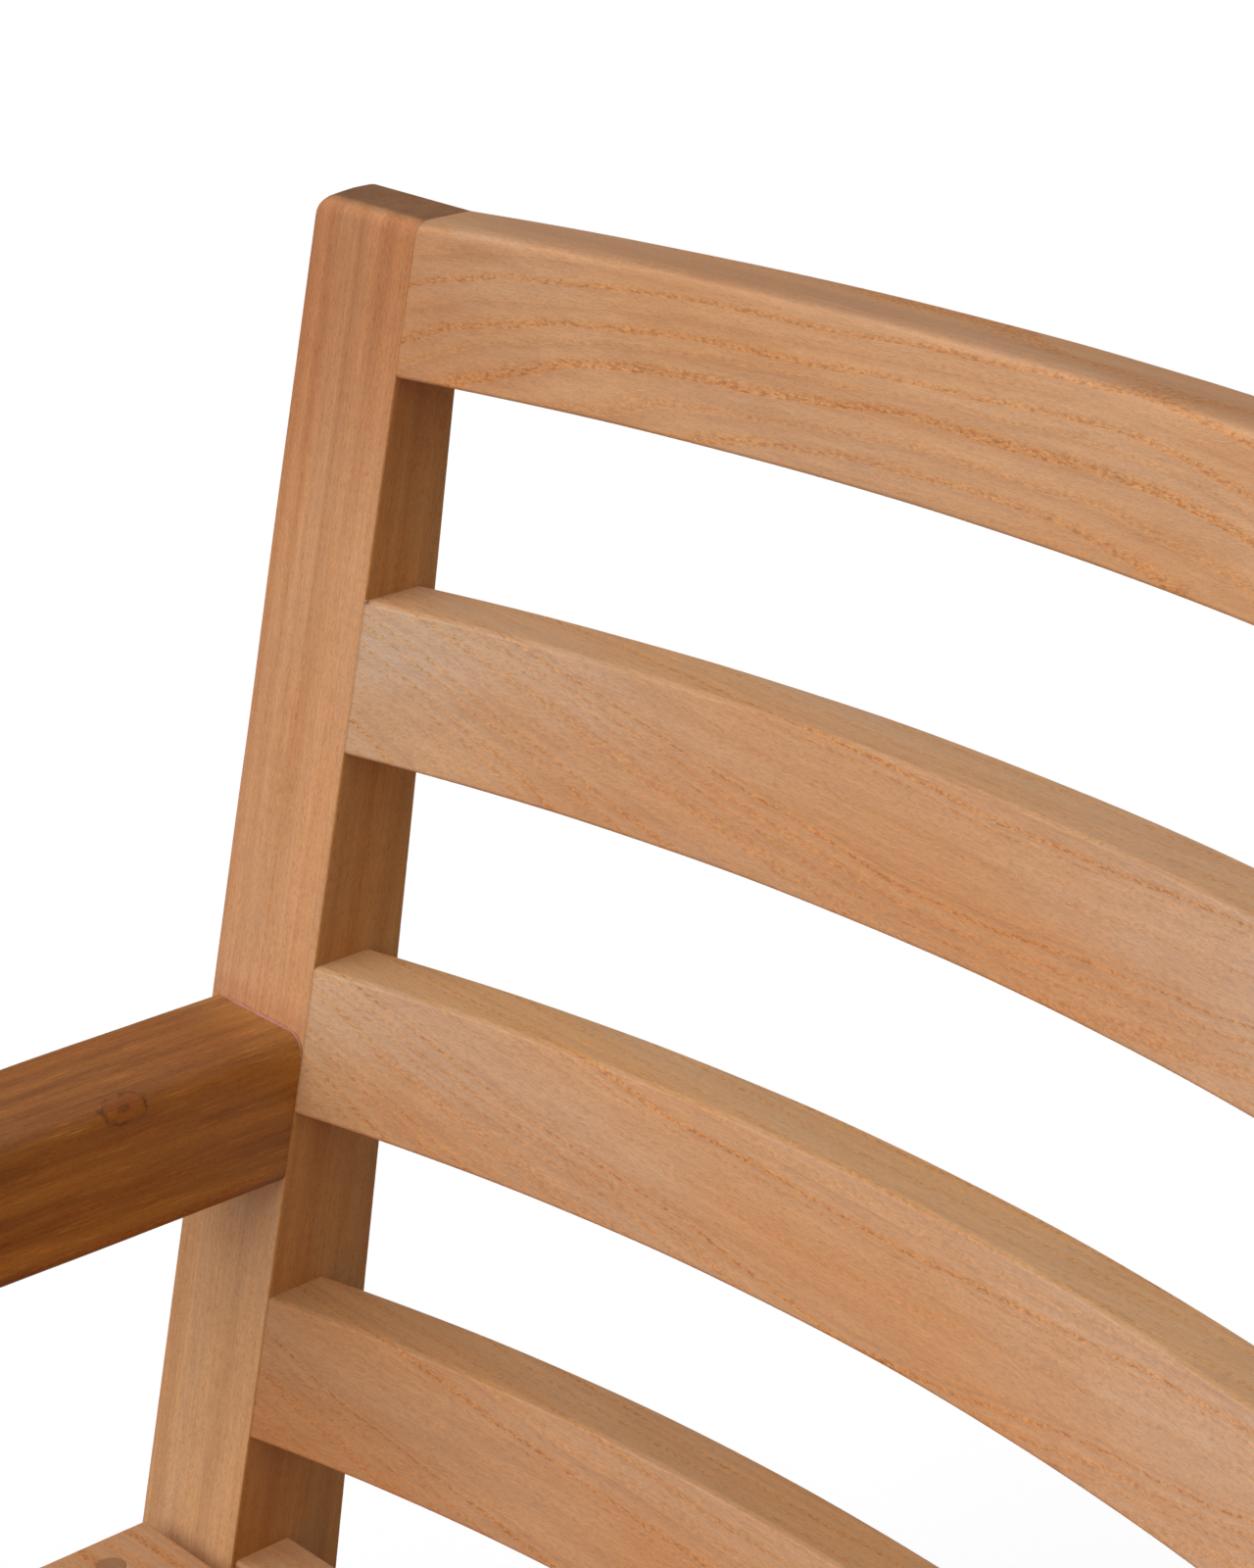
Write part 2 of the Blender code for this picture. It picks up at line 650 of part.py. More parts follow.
def make_seat_slat(index):
    bm = bmesh.new()
    half = INNER - SEAT_END_CLEARANCE if index == 1 else SEAT_HALF_WIDTH
    y = seat_slat_y(index)
    z = (SLAT_UNDERSIDE_Z, SEAT_Z)
    outline, x_low, x_high = square_block((-half, half), (y, y + SEAT_SLAT_WIDTH), z)
    add_prism(bm, outline, x_low, x_high)
    bmesh.ops.recalc_face_normals(bm, faces=bm.faces)
    soften(bm, EDGE_RADIUS, 2, lambda middle, way: True)
    name = f"seat_slat_{index}"
    slat = finished(name, bm, teak(name, TEAK_SEAT))
    joinery(slat, screw_places=[slat_screw(side, index) for side in (LEFT, RIGHT)])


# Fixings


def make_pegs(side):
    """The pegs of one side of the chair, each named for the tenon that it locks."""
    pegs = {member[0]: back_peg(side, member) for member in back_members()}
    pegs["arm_rear"] = arm_rear_peg(side)
    pegs["arm_front"] = arm_front_peg(side)
    pegs["side_rail_front"], pegs["side_rail_rear"] = side_rail_pegs(side)
    pegs["front_rail"] = front_rail_peg(side)
    pegs["rear_rail"] = rear_rail_peg(side)
    for tenon, (start, end) in pegs.items():
        bm = bmesh.new()
        add_rod(bm, start, end, PEG_RADIUS)
        name = f"peg_{tenon}_{SIDE_NAMES[side]}"
        finished(name, bm, teak(name, TEAK_PEG))


def make_seat_screws():
    bm = bmesh.new()
    add_turned(bm, 0.0, 0.0, screw_profile())
    steel = principled("seat_screw_steel", STAINLESS, STAINLESS_ROUGHNESS, 1.0)
    first = finished("seat_screw_1_left", bm, steel)
    for side in (LEFT, RIGHT):
        for index in range(1, SEAT_SLAT_COUNT + 1):
            name = f"seat_screw_{index}_{SIDE_NAMES[side]}"
            screw = bpy.data.objects.get(name)
            if screw is None:
                screw = bpy.data.objects.new(name, first.data)
                bpy.context.scene.collection.objects.link(screw)
            screw.location = (*slat_screw(side, index), 0.0)


def main():
    clear_scene()
    sides = (LEFT, RIGHT)
    for side in sides:
        make_rear_post(side)
        make_arm(side)
        make_front_leg(side)
        make_side_rail(side)
    for member in back_members():
        make_back_member(member)
    front_mortise, rear_mortise = bearer_tenons(GAP)
    front_pegs = [front_rail_peg(side) for side in sides]
    rear_pegs = [rear_rail_peg(side) for side in sides]
    front_screws = [slat_screw(side, 1) for side in sides]
    make_cross_rail("front_seat_rail", FRONT_RAIL_Y, RAIL_TOP_Z, front_mortise, front_pegs, front_screws)
    make_cross_rail("rear_seat_rail", REAR_RAIL_Y, SEAT_Z, rear_mortise, rear_pegs, ())
    make_seat_bearer()
    for index in range(1, SEAT_SLAT_COUNT + 1):
        make_seat_slat(index)
    for side in sides:
        make_pegs(side)
    make_seat_screws()


main()
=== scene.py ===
"""Looks of the teak garden armchair: finely sanded timbers, their grain, the light and the camera.

Each timber of the frame is replaced by a loft with softly rounded edges. Its sizes repeat the
design sizes of the frame, and every finished piece is compared with the box of the node it stands for.
"""

import math

import bmesh
import bpy
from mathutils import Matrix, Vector, noise


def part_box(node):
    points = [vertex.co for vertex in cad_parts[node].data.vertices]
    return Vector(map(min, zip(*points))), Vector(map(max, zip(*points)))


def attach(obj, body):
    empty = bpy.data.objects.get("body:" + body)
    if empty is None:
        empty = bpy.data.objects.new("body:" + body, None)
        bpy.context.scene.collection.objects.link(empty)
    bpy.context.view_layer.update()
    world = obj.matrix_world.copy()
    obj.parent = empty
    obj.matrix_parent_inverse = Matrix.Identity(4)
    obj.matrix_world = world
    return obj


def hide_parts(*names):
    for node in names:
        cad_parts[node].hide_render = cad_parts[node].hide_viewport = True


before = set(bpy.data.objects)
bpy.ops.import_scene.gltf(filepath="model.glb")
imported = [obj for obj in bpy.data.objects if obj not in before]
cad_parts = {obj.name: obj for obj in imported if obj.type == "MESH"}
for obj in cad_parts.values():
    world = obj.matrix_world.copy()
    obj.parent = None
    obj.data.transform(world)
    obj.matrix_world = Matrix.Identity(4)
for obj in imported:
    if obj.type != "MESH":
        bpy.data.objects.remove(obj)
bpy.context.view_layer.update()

LEFT = -1
RIGHT = 1
SIDES = {LEFT: "left", RIGHT: "right"}

# Design sizes, in metres
RAKE = math.radians(11.6)
BACK_TOP_Y = 0.255
BOW = 0.030
SLAT_THICKNESS = 0.025
RAIL_HEIGHT = 0.0533
SLAT_HEIGHT = 0.0547
SLAT_DROPS = {"back_slat_upper": 0.1304, "back_slat_middle": 0.2623, "back_slat_lower": 0.3864}
POST_TOP_DEPTH = 0.0247
POST_TAPER = 0.0535
KNEE_Z = 0.330
KNEE_RADIUS = 0.350
LEG_SPLAY = math.radians(7.0)
FOOT_DEPTH = 0.045
SEAT_SLAT_COUNT = 7
GAP = 0.0003
CLOSE = 0.00003

# Lofting, in metres, and where in the noise each kind of timber starts
PITCH = 0.006
COARSE_PITCH = 0.008
WAVINESS = 0.00010
POST_SEED = 3.0
BACK_SEED = 11.0
ARM_SEED = 21.0
LEG_SEED = 31.0
SIDE_RAIL_SEED = 41.0
SEAT_SLAT_SEED = 50.0

# Plugs, pegs and glue, in metres
PLUG_RADIUS = 0.00515
PLUG_HOLE_RADIUS = 0.0053
PLUG_HOLE_DEPTH = 0.0060
PLUG_CHAMFER = 0.00015
PLUG_LIFT = 0.0005
PLUG_PROUD = 0.00005
PEG_LENGTH = 0.0055
PEG_HOLE_DEPTH = 0.006
PEG_CHAMFER = 0.0003
PEG_PROUD = 0.0002
PEG_PLAY = 0.00010
PEG_HOLE_PLAY = 0.00015
DRILL_OVERSHOOT = 0.004
ARM_GLUE_RADIUS = 0.00075
ARM_GLUE_STEP = 0.0005
ARM_GLUE_ARC_STEPS = 12
SLAT_GLUE_RADIUS = 0.00070
SLAT_GLUE_STEP = 0.0004
GLUE_SIDES = 10
ROD_SIDES = 32

# The timber that each peg is driven into
PEG_HOSTS = {
    "rear_post": ("top_rail", "back_slat_upper", "back_slat_middle", "back_slat_lower", "arm_rear",
                  "side_rail_rear", "rear_rail"),
    "arm": ("arm_front",),
    "front_leg": ("side_rail_front", "front_rail"),
}

# The studio, in metres
FLOOR_SIZE = 30.0
BACKDROP_RADIUS = 40.0

# Roundings
POST_CORNER = 0.0075
POST_BACK_CORNER = 0.0025
TOP_EDGE = 0.005
RAIL_MIDDLE_EDGE = 0.0045
ARRIS = 0.0018
CRISP = 0.0010
FLUSH = 0.0002
ARM_TOP_EDGE = 0.0075
ARM_CORNER = 0.012
ARM_FRONT_EDGE = 0.005
ARM_LOW_EDGE = 0.0030
SEAT_SLAT_END = 0.0020
BACK_EDGE = 0.0020
RAIL_BACK_EDGE = 0.0025
RAIL_EDGE_FADE = 0.10

# Steps round each corner of a section, and points between its corners
CORNER_STEPS = 5
SIDE_CUTS = 4

# Each back slat's own tone, its tone near the posts, how far that reaches, and the painted shade on its top
# face, a darker tint that stands in for the light it misses
SLAT_TONES = {
    "back_slat_upper": ((0.98, 0.95, 0.92), (1.01, 1.14, 1.29), 0.140, (0.89, 0.94, 0.92)),
    "back_slat_middle": ((1.00, 1.00, 1.00), (1.01, 1.08, 1.10), 0.050, (0.87, 0.88, 0.77)),
    "back_slat_lower": ((0.98, 0.96, 0.92), (0.88, 0.80, 0.67), 0.150, (0.76, 0.73, 0.62)),
}
# Painted shade on the faces that look up: darker tints that stand in for the light they miss
RAIL_TOP_SHADE = (0.66, 0.65, 0.62)
POST_TOP_SHADE = (0.66, 0.76, 0.74)
ARM_TOP_SHADE = (0.82, 0.77, 0.86)

# Colours of the wood, as linear RGB
SLAT_BASE = (0.600, 0.336, 0.186)
RAIL_BASE = (0.605, 0.333, 0.174)
POST_BASE = (0.600, 0.315, 0.156)
ARM_BASE = (0.360, 0.139, 0.021)
SEAT_BASE = (0.560, 0.302, 0.150)
PEG_BASE = (0.380, 0.190, 0.085)
GLUE_DARK = (0.28, 0.10, 0.06)
GLUE_LIGHT = (0.54, 0.26, 0.18)
SLAT_JOINT = (0.85, 0.78, 0.71)
RAIL_JOINT = (0.97, 0.95, 0.93)
PALE = (0.98, 1.03, 1.10)
WARM = (1.02, 0.97, 0.88)

# Tints of the grain, each multiplied into the colour of the wood
PORE_DASH = (0.68, 0.56, 0.47)
BAND_DARK = (0.86, 0.80, 0.74)
BAND_PALE = (1.10, 1.10, 1.08)
LATE_WOOD = (0.92, 0.88, 0.85)
EARLY_WOOD = (0.97, 0.86, 0.70)
EARLY_SPECK_PALE = (1.20, 1.17, 1.02)
EARLY_SPECK_DARK = (0.80, 0.66, 0.54)
STREAK_DARK = (0.56, 0.47, 0.38)
STREAK_PALE = (1.45, 1.52, 1.80)
END_GRAIN = (0.62, 0.56, 0.54)
KNOT_SWIRL = (0.74, 0.64, 0.54)
KNOT_BODY = (1.02, 0.86, 0.74)
KNOT_HEART = (0.52, 0.44, 0.38)
KNOT_RIM = (0.42, 0.35, 0.30)

# Tints of places on the timbers, painted light and shade among them
POST_OUTSIDE = (0.93, 0.88, 0.84)
POST_TOP = (0.81, 0.68, 0.57)
# Painted light on the posts' fronts under the arms, lifting the shade that the arms cast there
POST_BELOW_ARM_LIGHT = (1.07, 1.17, 1.20)
POST_WIPED = (0.90, 0.83, 0.80)
# Painted shade on the posts' inner faces, deeper low down
POST_INSIDE_SHADE = (0.85, 0.78, 0.57)
POST_INSIDE_LOW_SHADE = (0.96, 0.90, 0.80)
ARM_NEAR_POST = (1.50, 1.90, 2.90)
RAIL_ENDS = (0.90, 0.86, 0.85)
SLAT_HIGH = (1.02, 1.10, 1.22)
SLAT_MIDDLE = (0.98, 0.94, 0.87)

# Metal and studio
STEEL_DARK = (0.50, 0.49, 0.47)
STEEL_PALE = (0.66, 0.65, 0.63)
FLOOR_COLOUR = (0.97, 0.985, 0.985, 1.0)
WORLD_COLOUR = (1.0, 0.95, 0.86, 1.0)
WORLD_STRENGTH = 0.17
WHITE = (1.0, 1.0, 1.0, 1.0)
BLACK = (0.0, 0.0, 0.0, 1.0)

# The camera stands to the front right of the upper left corner of the back, and above it
CAMERA_FROM_CORNER = (1.0309, -0.8272, 0.3262)
CAMERA_AZIMUTH = math.radians(48.222)
CAMERA_ELEVATION = math.radians(21.812)
CAMERA_LENS = 92.67
CAMERA_SENSOR = 36.0
CAMERA_CLIP_END = 100.0

# Places taken from the frame
POST_LOW, POST_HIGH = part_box("rear_post_right")
ARM_LOW, ARM_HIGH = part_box("arm_right")
LEG_LOW, LEG_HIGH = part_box("front_leg_right")
SEAT_TOP_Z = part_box("seat_slat_4")[1].z
INNER = POST_LOW.x
OUTER = POST_HIGH.x
TOP_Z = POST_HIGH.z
ARM_BACK_Y = ARM_HIGH.y

# Directions, and a shift into another part of the noise
GRAIN_X = Vector((1.0, 0.0, 0.0))
GRAIN_Y = Vector((0.0, 1.0, 0.0))
GRAIN_Z = Vector((0.0, 0.0, 1.0))
ELSEWHERE = (0.31, 0.17, 0.23)

# A knot on the left arm
KNOT_CENTRE = (-INNER - 0.001, 0.1214, ARM_HIGH.z - 0.002)
KNOT_SIZE = 0.0058

# Where the pith of the trunk ran beside the posts and legs
UPRIGHT_PITH_X = 0.33
POST_PITH_Z = 0.7
LEG_PITH_Y = -0.33
LEG_PITH_Z = 0.3


def post_front_y(z):
    """Where the front of the posts, above the knee, is at a height."""
    return BACK_TOP_Y - (TOP_Z - z) * math.tan(RAKE)


def slope_point(drop, behind):
    """(y, z) at a drop down the front of the posts, and level behind it."""
    return BACK_TOP_Y - drop * math.sin(RAKE) + behind, TOP_Z - drop * math.cos(RAKE)


# Lofting


def rounded_section(low, high, radii):
    """Points round a rectangle with its own radius at each corner, from the low-low corner on."""
    (u0, v0), (u1, v1) = low, high
    corners = ((u0, v0, 180), (u1, v0, 270), (u1, v1, 0), (u0, v1, 90))
    points = []
    for (u, v, start), radius in zip(corners, radii):
        centre_u = u + radius if u == u0 else u - radius
        centre_v = v + radius if v == v0 else v - radius
        arc = []
        for step in range(CORNER_STEPS + 1):
            angle = math.radians(start + 90 * step / CORNER_STEPS)
            arc.append((centre_u + radius * math.cos(angle), centre_v + radius * math.sin(angle)))
        points.append(arc)
    outline = []
    for index, arc in enumerate(points):
        following = points[(index + 1) % 4][0]
        outline.extend(arc)
        for cut in range(1, SIDE_CUTS + 1):
            share = cut / (SIDE_CUTS + 1)
            outline.append(tuple(a + (b - a) * share for a, b in zip(arc[-1], following)))
    return outline


def end_inset(distance, radius):
    """How far a side stands in at a distance from a rounded end."""
    if distance >= radius:
        return 0.0
    return radius - math.sqrt(max(radius * radius - (radius - distance) ** 2, 0.0))


def stations(start, end, pitch, start_round=0.0, end_round=0.0):
    """Places along a timber, closer together where its end is rounded."""
    rounded = [1 - math.cos(math.radians(90 * step / 6)) for step in range(7)]
    places = {start, end}
    places.update(start + start_round * share for share in rounded if start_round)
    places.update(end - end_round * share for share in rounded if end_round)
    first, last = start + start_round, end - end_round
    count = max(1, round((last - first) / pitch))
    places.update(first + (last - first) * step / count for step in range(count + 1))
    return sorted(places)


def loft(name, places, section_at, place_point, seed):
    """A closed timber through its sections, with the faint unevenness that sanding leaves."""
    bm = bmesh.new()
    rings = []
    for along in places:
        low, high, radii = section_at(along)
        swing = 1 + 0.22 * noise.noise(Vector((along * 17.0, seed, 0.0)))
        limit = 0.49 * min(high[0] - low[0], high[1] - low[1])
        radii = [max(min(radius * swing, limit), 0.00005) for radius in radii]
        outline = rounded_section(low, high, radii)
        rings.append([bm.verts.new(place_point(along, u, v)) for u, v in outline])
    skin(bm, rings)
    bm.normal_update()
    make_uneven(bm, seed)
    return finished(name, bm)


def skin(bm, rings):
    """Closes a body round its rings of corners, from the first to the last."""
    count = len(rings[0])
    for near, far in zip(rings, rings[1:]):
        for i in range(count):
            after = (i + 1) % count
            bm.faces.new((near[i], near[after], far[after], far[i]))
    bm.faces.new(rings[0])
    bm.faces.new(rings[-1])
    bmesh.ops.recalc_face_normals(bm, faces=bm.faces)


def make_uneven(bm, seed):
    """Moves each corner a little along its normal."""
    elsewhere = Vector((seed * 3.7, 0.0, 0.0))
    shifts = [vert.normal * WAVINESS * noise.noise(vert.co * 16.0 + elsewhere) for vert in bm.verts]
    for vert, shift in zip(bm.verts, shifts):
        vert.co += shift


def finished(name, bm, sharp=math.radians(40)):
    mesh = bpy.data.meshes.new(name)
    bm.to_mesh(mesh)
    bm.free()
    mesh.shade_smooth()
    mesh.set_sharp_from_angle(angle=sharp)
    piece = bpy.data.objects.new(name, mesh)
    bpy.context.scene.collection.objects.link(piece)
    return piece


def settle(piece, node, material, tolerance=0.0015):
    """Gives a piece its material and its body, and checks its place against the frame."""
    piece.data.materials.append(material)
    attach(piece, "root")
    low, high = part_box(node)
    points = [vert.co for vert in piece.data.vertices]
    for axis in range(3):
        if min(p[axis] for p in points) < low[axis] - tolerance:
            raise ValueError(f"{piece.name} reaches below its node on axis {axis}")
        if max(p[axis] for p in points) > high[axis] + tolerance:
            raise ValueError(f"{piece.name} reaches above its node on axis {axis}")
    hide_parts(node)
    return piece


def weigh_normals(piece):
    """Keeps the flat faces flat in shading next to the rounded edges."""
    modifier = piece.modifiers.new("Flat faces", "WEIGHTED_NORMAL")
    modifier.keep_sharp = True
    modifier.weight = 80


# Shader building


class Shader:
    """Short names for the nodes of one material."""

    def __init__(self, name):
        self.material = bpy.data.materials.new(name)
        self.material.use_nodes = True
        self.tree = self.material.node_tree
        self.principled = self.tree.nodes["Principled BSDF"]
        self.place = self.tree.nodes.new("ShaderNodeTexCoord").outputs["Object"]
        self.normal = self.tree.nodes.new("ShaderNodeNewGeometry").outputs["Normal"]

    def put(self, socket, value):
        if isinstance(value, bpy.types.NodeSocket):
            self.tree.links.new(value, socket)
        else:
            socket.default_value = value

    def math(self, operation, a, b=0.0, c=0.0):
        node = self.tree.nodes.new("ShaderNodeMath")
        node.operation = operation
        for socket, value in zip(node.inputs, (a, b, c)):
            self.put(socket, value)
        return node.outputs[0]

    def vector(self, operation, a, b=(0.0, 0.0, 0.0)):
        node = self.tree.nodes.new("ShaderNodeVectorMath")
        node.operation = operation
        self.put(node.inputs[0], a)
        self.put(node.inputs[1], b)
        return node.outputs["Value"] if operation in ("LENGTH", "DOT_PRODUCT") else node.outputs[0]

    def noise(self, vector, scale, detail=2.0, roughness=0.5, colour=False):
        """Noise whose grain size is one over scale, with a scale for each axis."""
        node = self.tree.nodes.new("ShaderNodeTexNoise")
        self.put(node.inputs["Vector"], self.vector("MULTIPLY", vector, scale))
        node.inputs["Scale"].default_value = 1.0
        node.inputs["Detail"].default_value = detail
        node.inputs["Roughness"].default_value = roughness
        return node.outputs["Color" if colour else "Fac"]

    def remap(self, value, low, high, to_low=0.0, to_high=1.0):
        node = self.tree.nodes.new("ShaderNodeMapRange")
        node.interpolation_type = "SMOOTHSTEP"
        for socket, number in zip(node.inputs, (value, low, high, to_low, to_high)):
            self.put(socket, number)
        return node.outputs[0]

    def mix(self, factor, a, b, blend="MIX"):
        node = self.tree.nodes.new("ShaderNodeMix")
        node.data_type = "RGBA"
        node.blend_type = blend
        self.put(node.inputs["Factor"], factor)
        for name, value in (("A", a), ("B", b)):
            socket = [s for s in node.inputs if s.name == name and s.type == "RGBA"][0]
            self.put(socket, value if isinstance(value, bpy.types.NodeSocket) else (*value, 1.0))
        return [s for s in node.outputs if s.type == "RGBA"][0]

    def bump(self, height, strength, distance):
        node = self.tree.nodes.new("ShaderNodeBump")
        node.inputs["Strength"].default_value = strength
        node.inputs["Distance"].default_value = distance
        self.put(node.inputs["Height"], height)
        self.put(self.principled.inputs["Normal"], node.outputs[0])

    def axis(self, vector, name):
        """One component of a vector: X, Y or Z."""
        node = self.tree.nodes.new("ShaderNodeSeparateXYZ")
        self.put(node.inputs[0], vector)
        return node.outputs[name]

    def upward(self, brow=0.45):
        """1 where the surface looks up, and 0 where its normal rises less than the brow says."""
        return self.remap(self.axis(self.normal, "Z"), brow, brow + 0.32)

    def tint(self, colour, factor, tint):
        """Multiplies a colour by another, or by a grey, as far as the factor says."""
        return self.mix(factor, colour, tint, "MULTIPLY")


def wood_space(shader, pith, along):
    """Coordinates in metres with X along the trunk that the timber was sawn from, and the pith at 0, 0."""
    mapping = shader.tree.nodes.new("ShaderNodeMapping")
    mapping.vector_type = "TEXTURE"
    shader.put(mapping.inputs["Vector"], shader.place)
    mapping.inputs["Location"].default_value = pith
    mapping.inputs["Rotation"].default_value = GRAIN_X.rotation_difference(along).to_euler()
    return mapping.outputs[0]


def year_rings(s, p, ring, warp):
    """A ramp over each year ring and a strength for each, with rings of uneven width."""
    bend = s.vector("SUBTRACT", s.noise(p, (4.0, 16.0, 16.0), 3.0, 0.55, colour=True), (0.5, 0.5, 0.5))
    across = s.vector("ADD", p, s.vector("MULTIPLY", bend, (0.0, warp * 2, warp * 2)))
    radius = s.vector("LENGTH", s.vector("MULTIPLY", across, (0.0, 1.0, 1.0)))
    rings = s.math("DIVIDE", radius, ring)
    uneven = s.tree.nodes.new("ShaderNodeTexNoise")
    uneven.noise_dimensions = "1D"
    uneven.inputs["Scale"].default_value = 0.37
    uneven.inputs["Detail"].default_value = 1.0
    s.put(uneven.inputs["W"], rings)
    rings = s.math("ADD", rings, s.math("MULTIPLY", uneven.outputs["Fac"], 2.0))
    chance = s.tree.nodes.new("ShaderNodeTexWhiteNoise")
    chance.noise_dimensions = "1D"
    s.put(chance.inputs["W"], s.math("FLOOR", rings))
    strength = s.math("MULTIPLY_ADD", s.math("POWER", chance.outputs["Value"], 1.6), 1.15, 0.25)
    return s.math("FRACT", rings), strength


def teak(name, base, pith, along, ring=0.0060, warp=0.010, line=1.0, felt=1.0, flecks=0.2, bands=0.5,
         streaks=0.0, figure=0.0, upper=None, brow=0.45, stain=None, knot=None, roughness=0.60):
    """Teak sawn from a trunk whose pith runs through a point, along a direction.

    base: colour of the wood. ring: width of a year ring. warp: how far the rings wander. line: strength
    of the speckled year lines. felt: strength of the finest grain. flecks: amount of dark pore dashes.
    bands: strength of the soft lengthwise bands. streaks: dark streaks and pale fibres, as in heartwood.
    figure: faint ripples across the grain. upper: painted shade on the faces that look up, a darker tint
    that stands in for the light they miss, and brow: how steeply they look up where it starts. stain: adds
    its own tint to the colour. knot: its centre, its size and the direction of the grain round it.
    """
    s = Shader(name)
    p = wood_space(s, pith, along)
    patch = s.noise(p, (5.0, 26.0, 26.0), 3.0, 0.55)
    pores = pore_dashes(s, p)
    colour = s.mix(s.remap(patch, 0.32, 0.68), tinted(base, PALE), tinted(base, WARM))
    colour = with_bands(s, p, colour, bands)
    colour = with_year_rings(s, p, colour, ring, warp, line)
    colour = s.tint(colour, s.math("MULTIPLY", pores, flecks), PORE_DASH)
    if streaks:
        colour = with_streaks(s, p, colour, streaks)
    if stain:
        colour = stain(s, colour)
    if knot:
        colour = with_knot(s, colour, knot)
    # Painted shade: the faces that look up are darkened, standing in for the light they miss
    if upper:
        colour = s.tint(colour, s.upward(brow), upper)
    fibre = s.noise(p, (60.0, 800.0, 800.0), 3.0, 0.65)
    fine = s.noise(p, (330.0, 1400.0, 1400.0), 2.0, 0.7)
    colour = with_felt(s, p, colour, fibre, fine, felt, figure)
    s.put(s.principled.inputs["Base Color"], with_end_grain(s, colour, along))
    rough = s.math("MULTIPLY_ADD", patch, 0.10, roughness - 0.05)
    s.put(s.principled.inputs["Roughness"], s.math("MULTIPLY_ADD", pores, 0.15, rough))
    s.principled.inputs["Specular IOR Level"].default_value = 0.30
    relief = s.math("MULTIPLY_ADD", pores, -0.7, s.math("MULTIPLY", fibre, 0.6))
    s.bump(s.math("MULTIPLY_ADD", fine, 0.3, relief), 0.35, 0.00020)
    return s.material


def with_felt(s, p, colour, fibre, fine, felt, figure):
    """The finest grain, and faint ripples across it where there is any figure."""
    grey = s.math("MULTIPLY_ADD", s.math("SUBTRACT", fibre, 0.5), 0.26 * felt, 1.0)
    grey = s.math("MULTIPLY_ADD", s.math("SUBTRACT", fine, 0.5), 0.70 * felt, grey)
    if figure:
        ripple = s.noise(p, (260.0, 70.0, 70.0), 1.0)
        grey = s.math("MULTIPLY_ADD", s.math("SUBTRACT", ripple, 0.5), figure, grey)
    return s.tint(colour, 1.0, grey)


def pore_dashes(s, p):
    """Short dark pores along the grain, crowded in some places and rare in others."""
    crowd = s.noise(s.vector("ADD", p, ELSEWHERE), (9.0, 60.0, 60.0), 2.0)
    dashes = s.noise(p, (330.0, 1400.0, 1400.0), 1.0)
    return s.remap(s.math("MULTIPLY_ADD", crowd, 0.25, dashes), 0.66, 0.82)


def with_bands(s, p, colour, amount):
    """Soft bands along the grain, some darker and some paler than the rest."""
    band = s.noise(p, (3.5, 150.0, 150.0), 4.0, 0.68)
    colour = s.tint(colour, s.remap(band, 0.40, 0.70, 0.0, amount), BAND_DARK)
    return s.tint(colour, s.remap(band, 0.46, 0.30, 0.0, amount), BAND_PALE)


def with_year_rings(s, p, colour, ring, warp, line):
    """Each ring starts with a warm speckled band of open pores, and grows darker towards its end."""
    phase, strength = year_rings(s, p, ring, warp)
    strength = s.math("MULTIPLY", strength, line)
    band = s.math("MULTIPLY", s.remap(phase, 0.0, 0.07), s.remap(phase, 0.55, 0.16))
    early_wood = s.math("MULTIPLY", band, strength)
    late_wood = s.math("MULTIPLY", s.remap(phase, 0.50, 1.0), strength)
    bright = s.remap(s.noise(p, (520.0, 1150.0, 1150.0), 1.0), 0.48, 0.60)
    dark = s.remap(s.noise(s.vector("ADD", p, ELSEWHERE), (430.0, 1050.0, 1050.0), 1.0), 0.50, 0.62)
    colour = s.tint(colour, late_wood, LATE_WOOD)
    colour = s.tint(colour, early_wood, EARLY_WOOD)
    colour = s.tint(colour, s.math("MULTIPLY", early_wood, bright), EARLY_SPECK_PALE)
    return s.tint(colour, s.math("MULTIPLY", early_wood, dark), EARLY_SPECK_DARK)


def with_streaks(s, p, colour, amount):
    """The dark streaks and pale fibres of heartwood."""
    dark = s.remap(s.noise(p, (9.0, 150.0, 150.0), 5.0, 0.70), 0.42, 0.70, 0.0, amount)
    pale = s.noise(s.vector("ADD", p, ELSEWHERE), (60.0, 1100.0, 1100.0), 2.0, 0.6)
    colour = s.tint(colour, dark, STREAK_DARK)
    return s.tint(colour, s.remap(pale, 0.55, 0.72, 0.0, amount), STREAK_PALE)


def with_end_grain(s, colour, along):
    """End grain takes up more oil, so it is darker than the long faces."""
    facing = s.math("ABSOLUTE", s.vector("DOT_PRODUCT", s.normal, tuple(along.normalized())))
    return s.tint(colour, s.remap(facing, 0.80, 0.99), END_GRAIN)


def tinted(base, tint):
    return tuple(a * b for a, b in zip(base, tint))


